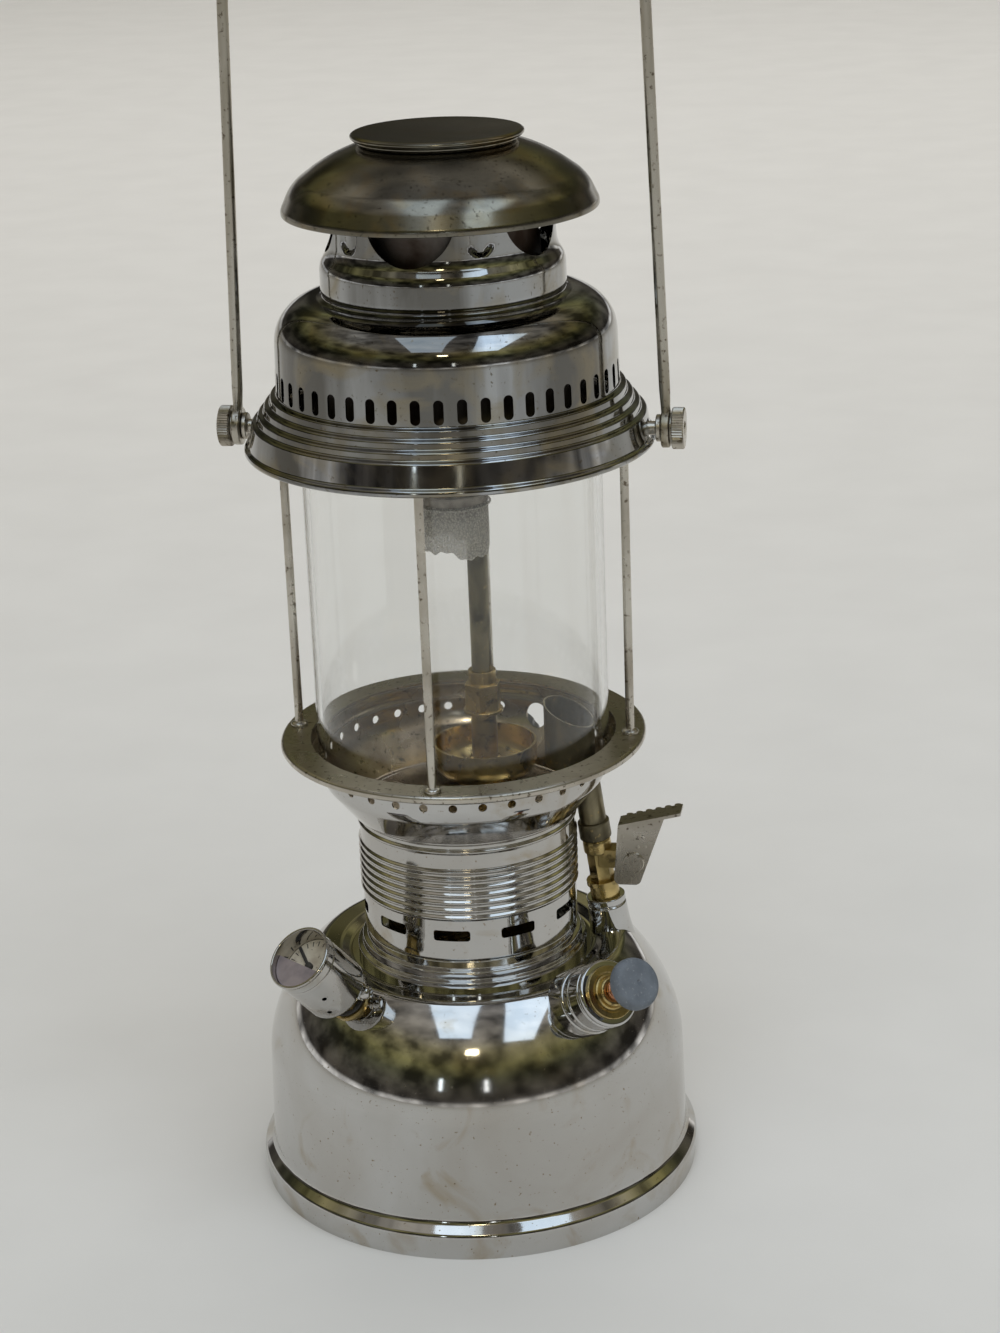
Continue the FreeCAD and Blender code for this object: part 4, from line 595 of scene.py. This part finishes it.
# The cage: four nickelled rods with small seat nuts run from the gallery ring up to a flanged ring inside
# the hood, which carries the bail's two studs.
bar = turned("cage_rod", [
    (3.2, 176.9), (3.2, 177.9, 0.3), (2.5, 178.5, 0.3), (1.6, 178.7, 0.1), (1.6, 296.2),
], 40, 3, "capped")
rod_circle = 63 * MM
for index in range(4):
    upright = bar.copy()
    upright.data = bar.data.copy()
    upright.name = "cage_rod_%d" % (index + 1)
    bpy.context.collection.objects.link(upright)
    angle = math.radians(90 * index)
    in_place(upright, Matrix.Translation((rod_circle * math.sin(angle), -rod_circle * math.cos(angle), 0)))
    dressed(upright, satin, "nickel", "root", "cage_rods", "rod_feet")
bpy.data.objects.remove(bar)
top_ring = turned("cage_ring", [
    (58, 296.2), (66.2, 296.2, 0.3), (66.2, 289.4), (67.4, 289.4, 0.2), (67.4, 297.4, 0.7), (58, 297.4),
], 160, 4, "closed")
dressed(top_ring, satin, "nickel", "root", "cage_top_ring")

# The glass: a plain cylinder of clear heat-proof glass with fire-polished ends. It only stands in the bowl,
# and it carries a little dust in faint upright streaks.
clear, add, give = finish("clear_glass", (0.97, 0.98, 0.975), 0.0)
shader = clear.node_tree.nodes["Principled BSDF"]
shader.inputs["Transmission Weight"].default_value = 1.0
shader.inputs["IOR"].default_value = 1.45
film = spots(add, 60, 0.52, 0.80, 4.0, (1, 1, 0.06))
give("Roughness", between(add, film, 0.0, 0.10))
give("Base Color", blend_of(add, film, (0.98, 0.985, 0.98), (0.93, 0.925, 0.91)))
tree = clear.node_tree
see_through = tree.nodes.new("ShaderNodeBsdfTransparent")
either = tree.nodes.new("ShaderNodeMixShader")
tree.links.new(tree.nodes.new("ShaderNodeLightPath").outputs["Is Shadow Ray"], either.inputs[0])
tree.links.new(shader.outputs[0], either.inputs[1])
tree.links.new(see_through.outputs[0], either.inputs[2])
tree.links.new(either.outputs[0], tree.nodes["Material Output"].inputs[0])
glass = turned("glass_cylinder", [
    (54.7, 171.1, 0.8), (54.7, 293.1, 0.9), (52.3, 293.1, 0.9), (52.3, 171.1, 0.8),
], 192, 4, "closed")
dressed(glass, clear, "glass", "root", "glass_chimney")

# The bail's pivots: on each side a nickelled stud with a shoulder comes out of the cage's top ring, and
# carries a washer and a knurled thumb nut.
pivot = Matrix.Translation((0, 0, 293.7 * MM))
sideways = Matrix.Rotation(math.radians(90), 4, "Y")
pivot_of = {"right": pivot @ sideways, "left": pivot @ Matrix.Rotation(math.pi, 4, "Z") @ sideways}
knurl_sides = 96
for name, at_pivot in pivot_of.items():
    stud = turned("stud_" + name, [
        (2.5, 67.5), (2.5, 74.8, 0.3), (4.9, 75.0, 0.4), (4.9, 76.8, 0.4), (2.5, 76.95, 0.2),
        (2.5, 85.2, 0.5), (1.6, 85.7, 0.3),
    ], 48, 3, "capped")
    dressed(in_place(stud, at_pivot), satin, "nickel", "root", "pivot_studs")
    washer = turned("washer_" + name, [
        (2.6, 80.1), (5.5, 80.1, 0.2), (5.5, 80.7, 0.2), (2.6, 80.7),
    ], 48, 3, "closed")
    dressed(in_place(washer, at_pivot), satin, "nickel", "bail", "bail_washers")
    nut = turned("thumb_nut_" + name, [
        (2.6, 80.8), (7.1, 80.8), (7.5, 81.2), (7.5, 84.8), (7.0, 85.2), (2.6, 85.2),
    ], knurl_sides, 3, "closed")
    bpy.ops.object.mode_set(mode="EDIT")
    bpy.ops.mesh.select_mode(type="VERT")
    bpy.ops.mesh.select_all(action="DESELECT")
    bpy.ops.object.mode_set(mode="OBJECT")
    for vertex in nut.data.vertices:
        spoke = round(math.atan2(vertex.co.y, vertex.co.x) / (2 * math.pi) * knurl_sides)
        vertex.select = spoke % 2 == 0 and vertex.co.xy.length > 6.4 * MM
    bpy.ops.object.mode_set(mode="EDIT")
    bpy.ops.transform.resize(value=(0.945, 0.945, 1), center_override=(0, 0, 0))
    bpy.ops.object.mode_set(mode="OBJECT")
    dressed(in_place(nut, at_pivot), satin, "nickel", "bail_nut_" + name, "bail_nut_" + name)

# The bail: one length of nickelled 4 mm wire, straight up from its flattened eyes and bent to a half circle
# at the top. The plate is dull, with brassy wear.
dull, add, give = finish("dull_wire", (0.46, 0.43, 0.37), 0.36, 1.0)
rubbed = spots(add, 48, 0.42, 0.66, 5.0, (1, 1, 0.25))
pits = spots(add, 520, 0.60, 0.70, 3.0)
tint = blend_of(add, rubbed, (0.54, 0.51, 0.45), (0.33, 0.285, 0.20))
give("Base Color", blend_of(add, pits, tint, (0.15, 0.12, 0.09)))
give("Roughness", between(add, rubbed, 0.26, 0.45))
foot, bend = Vector((78.5, 0, 297.7)), Vector((74.0, 0, 444.7))
along = (bend - foot).normalized()
centre_z = bend.z + bend.x * along.x / along.z
tilt = math.atan2(-along.x, along.z)
bpy.ops.object.select_all(action="DESELECT")
wire_radius = 2 * MM
bpy.ops.mesh.primitive_circle_add(vertices=24, radius=wire_radius, location=bend * MM, rotation=(0, -tilt, 0))
wire = bpy.context.object
wire.name = "bail_loop"
bpy.ops.object.transform_apply(location=True, rotation=True, scale=True)
bpy.ops.object.mode_set(mode="EDIT")
bpy.ops.mesh.select_all(action="SELECT")
bpy.ops.mesh.spin(steps=72, angle=math.pi - 2 * tilt, center=(0, 0, centre_z * MM), axis=(0, 1, 0))
for side in (1, -1):
    bpy.ops.mesh.select_all(action="DESELECT")
    bpy.ops.mesh.select_mode(type="VERT")
    bpy.ops.object.mode_set(mode="OBJECT")
    end, leg = Vector((side * bend.x, 0, bend.z)) * MM, Vector((side * along.x, 0, along.z))
    for vertex in wire.data.vertices:
        from_end = vertex.co - end
        vertex.select = from_end.length < 2.05 * MM and abs(from_end.dot(leg)) < 0.02 * MM
    bpy.ops.object.mode_set(mode="EDIT")
    foot_at = (side * foot.x * MM, 0, foot.z * MM)
    for share in (0.2, 0.2, 0.2, 0.2, 0.13, 0.04, 0.03):
        step = (foot - bend) * MM * share
        bpy.ops.mesh.extrude_region_move(TRANSFORM_OT_translate={"value": (side * step.x, 0, step.z)})
        if share < 0.05:
            bpy.ops.transform.resize(value=(0.86, 1.45, 1), center_override=foot_at)
bpy.ops.mesh.select_all(action="SELECT")
bpy.ops.mesh.remove_doubles(threshold=0.000001)
bpy.ops.mesh.select_all(action="DESELECT")
bpy.ops.mesh.select_non_manifold()
bpy.ops.mesh.fill_holes(sides=0)
bpy.ops.mesh.select_all(action="SELECT")
bpy.ops.mesh.normals_make_consistent(inside=False)
bpy.ops.object.mode_set(mode="OBJECT")
dressed(wire, dull, "bail_nickel", "bail", "bail_wire")
for name, at_pivot in pivot_of.items():
    eye = turned("bail_eye_" + name, [
        (2.6, 77.0), (7.0, 77.0, 0.6), (7.0, 80.0, 0.6), (2.6, 80.0),
    ], 64, 4, "closed")
    dressed(in_place(eye, at_pivot), dull, "bail_nickel", "bail")

# The hood: spun and plated, with a rolled rim, four low steps, a bell pierced by a row of tall slots, a
# beaded waist and a neck with five round windows and a pressed flute between each pair.
hood = turned("hood", [
    (72.2, 288.6, 0.3), (72.6, 288.2, 0.4), (73.9, 288.2, 0.5), (74.6, 289.2, 0.5), (74.3, 290.5, 0.5),
    (72.9, 291.0, 0.5), (71.3, 299.4, 0.75), (69.2, 299.8, 0.6), (68.9, 302.6, 0.75), (66.8, 303.0, 0.6),
    (66.5, 305.8, 0.75), (64.4, 306.2, 0.6), (64.1, 309.0, 0.5), (61.9, 309.4, 0.6), (61.0, 343.0, 14.4),
    (45.4, 343.3, 0.6), (43.3, 344.1, 0.4), (43.9, 346.4, 0.9), (43.8, 355.4, 2.0), (40.9, 360.4, 2.0),
    (40.75, 362.6), (40.72, 363.4), (40.7, 364.2), (40.67, 365.0), (40.65, 366.0), (40.6, 367.4),
    (40.3, 378.0), (40.0, 390.8),
], 288, 12)
# The hood's plate: its dark upright streaks are partly smoke stain and partly a painted reflection of a dark
# room.
smoke_and_painted_reflection, add, give = finish("smoke_and_painted_reflection_plate", (0.42, 0.42, 0.42), 0.08, 1.0)
streaks = spots(add, 34, 0.40, 0.60, 6.0, (1, 1, 0.12), 0.4)
stains = spots(add, 48, 0.50, 0.74, 8.0, warp=1.0)
specks = spots(add, 640, 0.64, 0.74, 3.0)
tint = blend_of(add, streaks, (0.44, 0.45, 0.46), (0.17, 0.165, 0.155))
tint = blend_of(add, stains, tint, (0.30, 0.26, 0.18))
give("Base Color", blend_of(add, specks, tint, (0.15, 0.13, 0.10)))
give("Roughness", between(add, stains, 0.05, 0.16))
waves = noise_of(add, 34.0, 2.0)
give("Normal", relief_of(add, waves, 0.0004, 0.4))
neck_radius, flute_radius, flute_depth, flute_height, flute_turn, flute_apart = 40.5, 5.0, 1.1, 367.6, 30, 72
for vertex in hood.data.vertices:
    turn_at = math.degrees(math.atan2(vertex.co.x, -vertex.co.y))
    off_turn = abs((turn_at - flute_turn + flute_apart / 2) % flute_apart - flute_apart / 2)
    aside = off_turn * math.radians(1) * neck_radius
    below = max(0.0, flute_height - vertex.co.z / MM)
    inside = flute_radius - math.hypot(aside, below)
    if vertex.co.z > 361.5 * MM and inside > 0:
        press = min(1.0, inside / 1.5)
        vertex.co.xy *= 1 - flute_depth / neck_radius * press * press * (3 - 2 * press)
walled(hood, 0.7)
pierced(hood, ring_of(slot_cutter((3.5, 8, 8.7), (0, -60.5, 314.7), 1.7, 5), 48))
pierced(hood, ring_of(cylinder(16, 16, (0, -40, 375.7), 96), 5, -6.0))
for side in (1, -1):
    pierced(hood, block((9, 6.4, 11.8), (side * 72, 0, 291)))
dressed(hood, smoke_and_painted_reflection, "chrome", "hood", "hood_shell")

# The cap and lid: a spun cap darkened by heat closes the neck like a mushroom, and a flat lid with a rolled
# edge is pressed into its mouth.
heated, add, give = finish("heat_dark_plate", (0.30, 0.28, 0.22), 0.2, 1.0)
bands = spots(add, 22, 0.36, 0.66, 6.0, (1, 1, 2.5), 0.9)
scorch = spots(add, 60, 0.5, 0.78, 7.0, warp=1.0)
tint = blend_of(add, bands, (0.30, 0.28, 0.23), (0.15, 0.14, 0.115))
tint = blend_of(add, scorch, tint, (0.26, 0.20, 0.11))
give("Base Color", blend_of(add, spots(add, 700, 0.62, 0.72, 2.0), tint, (0.10, 0.09, 0.07)))
give("Roughness", between(add, bands, 0.13, 0.27))
swirl = noise_of(add, 30.0, 2.0)
give("Normal", relief_of(add, swirl, 0.0005, 0.35))
brim = turned("cap", [
    (54.8, 374.6), (54.9, 373.3, 0.4), (56.2, 373.3, 0.5), (56.2, 375.2, 0.8), (52.3, 383.4, 3.6),
    (40.5, 391.9, 6.0), (27.5, 397.0),
], 192, 8)
walled(brim, 0.8)
dressed(brim, heated, "tarnished_nickel", "hood", "hood_cap")
lid = turned("lid", [
    (26.7, 396.2), (27.4, 396.2), (27.4, 397.2, 0.2), (28.6, 397.4, 0.3), (28.6, 398.2, 0.3),
    (29.8, 398.4, 0.4), (30.9, 399.5, 0.7), (30.0, 400.7, 0.8), (26.0, 400.65, 0.3), (8.0, 400.5),
], 160, 4, "capped")
dressed(lid, heated, "tarnished_nickel", "hood", "hood_lid")

# The burner: a sheet-steel chamber, its bracket, the burner pipe and the mixing tube are hung inside the
# hood, all stained by heat.
stained, add, give = finish("heat_stained_steel", (0.16, 0.14, 0.12), 0.55, 1.0)
rust = spots(add, 50, 0.40, 0.70, 6.0, warp=0.6)
give("Base Color", blend_of(add, rust, (0.20, 0.18, 0.165), (0.09, 0.06, 0.045)))
give("Roughness", between(add, rust, 0.42, 0.75))
chamber = turned("chamber", [
    (69.8, 297.7), (50, 297.7, 1.2), (38, 327.7, 3.0), (34, 369.7),
], 128)
walled(chamber, 0.6)
dressed(chamber, stained, "burner_steel", "hood", "inner_chamber")
as_built("bracket", "burner_bracket", stained, "burner_steel", "hood", 0.3)
pipe = turned("burner_tube", [
    (8.0, 264.5), (9.0, 264.5, 0.2), (9.0, 303.3, 0.3), (8.0, 303.3),
], 64, 3, "closed")
dressed(pipe, stained, "burner_steel", "hood", "burner_pipe")
as_built("mixing_bend", "mixing_tube", stained, "burner_steel", "hood", 0.2)

# The nozzle and mantle: an unglazed ceramic nozzle in the burner tube's end, and the burnt-out silk mantle
# tied into its groove, torn off below.
clay, add, give = finish("sooted_clay", (0.50, 0.45, 0.38), 0.85)
soot = spots(add, 120, 0.38, 0.66, 6.0)
give("Base Color", blend_of(add, soot, (0.55, 0.50, 0.43), (0.16, 0.13, 0.11)))
give("Normal", relief_of(add, soot, 0.0003, 0.5))
clay_piece = turned("clay_nozzle", [
    (8, 261.4), (12.5, 261.4, 0.8), (12.5, 265.0, 0.3), (11.7, 265.9, 0.3), (12.5, 266.8, 0.3),
    (12.5, 270.4, 0.8), (9.05, 270.4), (9.05, 264.4), (8, 264.4),
], 64, 3, "closed")
dressed(clay_piece, clay, "ceramic", "hood", "nozzle")
ash, add, give = finish("mantle_gauze", (0.80, 0.77, 0.70), 0.95)
knit = add("TexVoronoi", {"Vector": add("TexCoord").outputs["Object"], "Scale": 1300.0})
give("Base Color", blend_of(add, knit.outputs["Distance"], (0.86, 0.83, 0.76), (0.50, 0.47, 0.42)))
give("Normal", relief_of(add, knit.outputs["Distance"], 0.0003, 0.8))
thread = {"Value": knit.outputs["Distance"], "From Max": 0.7, "To Min": 0.92, "To Max": 0.5}
give("Alpha", add("MapRange", thread).outputs[0])
sleeve = turned("mantle_gauze", [
    (12.65, 266.7), (12.75, 262.0), (12.85, 258.0), (12.8, 254.0), (12.7, 250.5), (12.6, 247.2),
], 96)
torn_below = 248 * MM
for vertex in sleeve.data.vertices:
    turn_at = math.atan2(vertex.co.y, vertex.co.x)
    if vertex.co.z < torn_below:
        ragged = 2.2 * math.sin(3 * turn_at + 0.6) + 1.4 * math.sin(7 * turn_at)
        ragged += 0.9 * math.sin(17 * turn_at + 1.1)
        vertex.co.z += (2.8 + ragged - 2.4 * math.cos(turn_at)) * MM * 0.5
walled(sleeve, 0.25)
dressed(sleeve, ash, "mantle_cloth", "hood", "mantle")
as_built("mantle_string", "mantle_tie", ash, "mantle_cloth", "hood")

# The burner column: brass stem, spirit cup, nut and vaporiser tube, blackened towards the flame, with the
# loop that circles the mantle. The hand control's spindle crosses the stem behind the collar.
burnt, add, give = finish("burnt_brass", (0.19, 0.16, 0.10), 0.45, 1.0)
char = spots(add, 70, 0.38, 0.68, 7.0, (1, 1, 0.6), 0.8)
tint = blend_of(add, char, (0.27, 0.235, 0.15), (0.10, 0.09, 0.065))
give("Base Color", blend_of(add, spots(add, 500, 0.62, 0.74, 3.0), tint, (0.36, 0.28, 0.14)))
give("Roughness", between(add, char, 0.34, 0.62))
column = Matrix.Translation((4 * MM, 22 * MM, 0))
as_built("stem", "valve_body", aged, "brass", "root", 0.3)
spirit = turned("spirit_dish", [
    (5.1, 151.1), (15.6, 151.1, 2.0), (20, 155.6, 2.4), (20, 164.4),
], 96)
walled(spirit, 0.8)
dressed(in_place(spirit, column), aged, "brass", "root", "spirit_cup")
dish_foot = turned("dish_foot", [
    (5.1, 149.3), (12.5, 149.3, 0.3), (12.5, 151.0, 0.3), (5.1, 151.0),
], 64, 3, "closed")
dressed(in_place(dish_foot, column), aged, "brass", "root")
hub = turned("dish_hub", [
    (5.1, 151.9), (9.5, 151.9, 0.2), (9.5, 152.3, 0.2), (5.8, 158.0, 0.3), (5.1, 158.2),
], 64, 3, "closed")
dressed(in_place(hub, column), aged, "brass", "root")
washer = turned("stem_washer", [
    (1.4, 176.4), (7.6, 176.4, 0.3), (7.6, 177.8, 0.4), (1.4, 177.8),
], 64, 3, "closed")
dressed(in_place(washer, column), aged, "brass", "root", "generator_ring")
as_built("vaporiser_nut", "generator_nut", aged, "brass", "root", 0.4)
as_built("vaporiser", "generator_tube", burnt, "dark_brass", "root")
as_built("jet_tip", "jet", aged, "brass", "root")

# The hand control: a moulded black wheel with ten finger grooves sits on the end of the spindle, which
# works the cleaning needle through the stem.
ebony, add, give = finish("black_moulding", (0.025, 0.024, 0.023), 0.42)
scuff = spots(add, 260, 0.50, 0.72, 5.0)
give("Base Color", blend_of(add, scuff, (0.022, 0.021, 0.02), (0.07, 0.065, 0.06)))
give("Roughness", between(add, scuff, 0.34, 0.58))
wheel = turned("hand_wheel", [
    (2.6, -6.0), (6.5, -6.0, 0.7), (6.5, -0.2, 0.4), (13.0, 0.2, 0.5), (14.0, 1.2, 0.5), (14.0, 4.6, 0.8),
    (12.8, 6.0, 0.7), (5.0, 6.0, 0.4), (4.0, 5.2, 0.4), (0.4, 5.2),
], 96, 4, "capped")
pierced(wheel, ring_of(cylinder(2.2, 14, (15.3, 0, 3), 32, lying=False), 10))
spindle_at = Matrix.Translation((4 * MM, 77 * MM, 142 * MM)) @ Matrix.Rotation(math.radians(-90), 4, "X")
dressed(in_place(wheel, spindle_at), ebony, "wheel_black", "control", "control_wheel")

# The torch: a chromed cone on the crown, a brass body with a hexagon, a union nut and a tube that leads up
# into a slanting flame cup inside the bowl. A pressed lever with a toothed lip opens its valve.
cone = turned("torch_cone", [
    (3.1, -7.6), (10.2, -7.6), (8.0, 0, 4.5), (7.5, 10.8, 0.3), (6.9, 11.3, 0.2), (7.5, 11.8, 0.4),
    (7.5, 14.4, 0.5), (3.1, 14.4),
], 96, 6, "closed")
dressed(in_place(cone, torch), bright, "chrome", "root", "torch_boss")
as_built("torch_brass", "torch_body", aged, "brass", "root", 0.35)
union = turned("torch_union", [
    (3.5, 33), (5.1, 33, 0.3), (5.4, 33.6, 0.3), (5.4, 37.6, 0.4), (4.9, 38.9, 0.8), (3.5, 39),
], 64, 3, "closed")
dressed(in_place(union, torch), aged, "brass", "root", "torch_union_nut")
as_built("torch_pipe", "torch_tube", burnt, "dark_brass", "root", 0.3)
as_built("flame_cup", "torch_flame_tube", burnt, "dark_brass", "root", 0.12)
as_built("lever_plate", "torch_lever", satin, "nickel", "torch_lever", 0.3)
lever_face = Vector(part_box("torch_lever")[0]).y / MM
pin_low, pin_high = (Vector(corner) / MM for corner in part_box("lever_rivet"))
pin = (pin_low + pin_high) / 2
front = Matrix.Rotation(math.radians(90), 4, "X")
swell = turned("lever_swell", [
    (4.1, -0.4), (4.1, 0.1, 0.15), (3.3, 0.5, 0.3), (2.4, 0.3, 0.2), (2.1, 0.0, 0.1),
], 48, 3, "capped")
swell_at = Vector((pin.x, lever_face, pin.z))
dressed(in_place(swell, Matrix.Translation(swell_at * MM) @ front), satin, "nickel", "torch_lever")
for count, (aside, above) in enumerate(((-4.2, 10.3), (3.6, 10.6), (1.6, 6.4), (4.4, 6.6))):
    dimple = turned("lever_dimple_%d" % (count + 1), [
        (0.75, -0.3), (0.75, 0.12, 0.12), (0.3, 0.2),
    ], 20, 3, "capped")
    spot = Vector((pin.x + aside, lever_face, pin.z + above))
    dressed(in_place(dimple, Matrix.Translation(spot * MM) @ front), satin, "nickel", "torch_lever")
lever_pin = as_built("lever_pin", "lever_rivet", satin, "nickel", "root", 0.3)
hole_radius, hole_play = 1.9 * MM, 0.07
for vertex in lever_pin.data.vertices:
    off_axis = Vector((vertex.co.x - pin.x * MM, 0, vertex.co.z - pin.z * MM))
    if off_axis.length < hole_radius:
        vertex.co -= off_axis * hole_play

# What is left is out of sight or plain: it keeps the frame's own solids with a finish of its own metal,
# leather or packing.
oiled, add, give = finish("oiled_leather", (0.20, 0.12, 0.06), 0.6)
give("Base Color", blend_of(add, spots(add, 300, 0.4, 0.7), (0.24, 0.145, 0.075), (0.12, 0.07, 0.04)))
packing, add, give = finish("packing", (0.05, 0.05, 0.05), 0.8)
give("Base Color", blend_of(add, spots(add, 300, 0.4, 0.7), (0.045, 0.045, 0.045), (0.08, 0.075, 0.07)))
for material, kept in (
    (bright, ("tank_bottom", "control_gland")),
    (aged, ("pickup_tube", "pump_check_valve", "pump_piston", "piston_nut", "filler_neck", "control_spindle",
            "needle_rod")),
    (oiled, ("pump_leather",)),
    (packing, ("filler_gasket",)),
):
    for node in kept:
        nodes[node].data.materials.clear()
        nodes[node].data.materials.append(material)
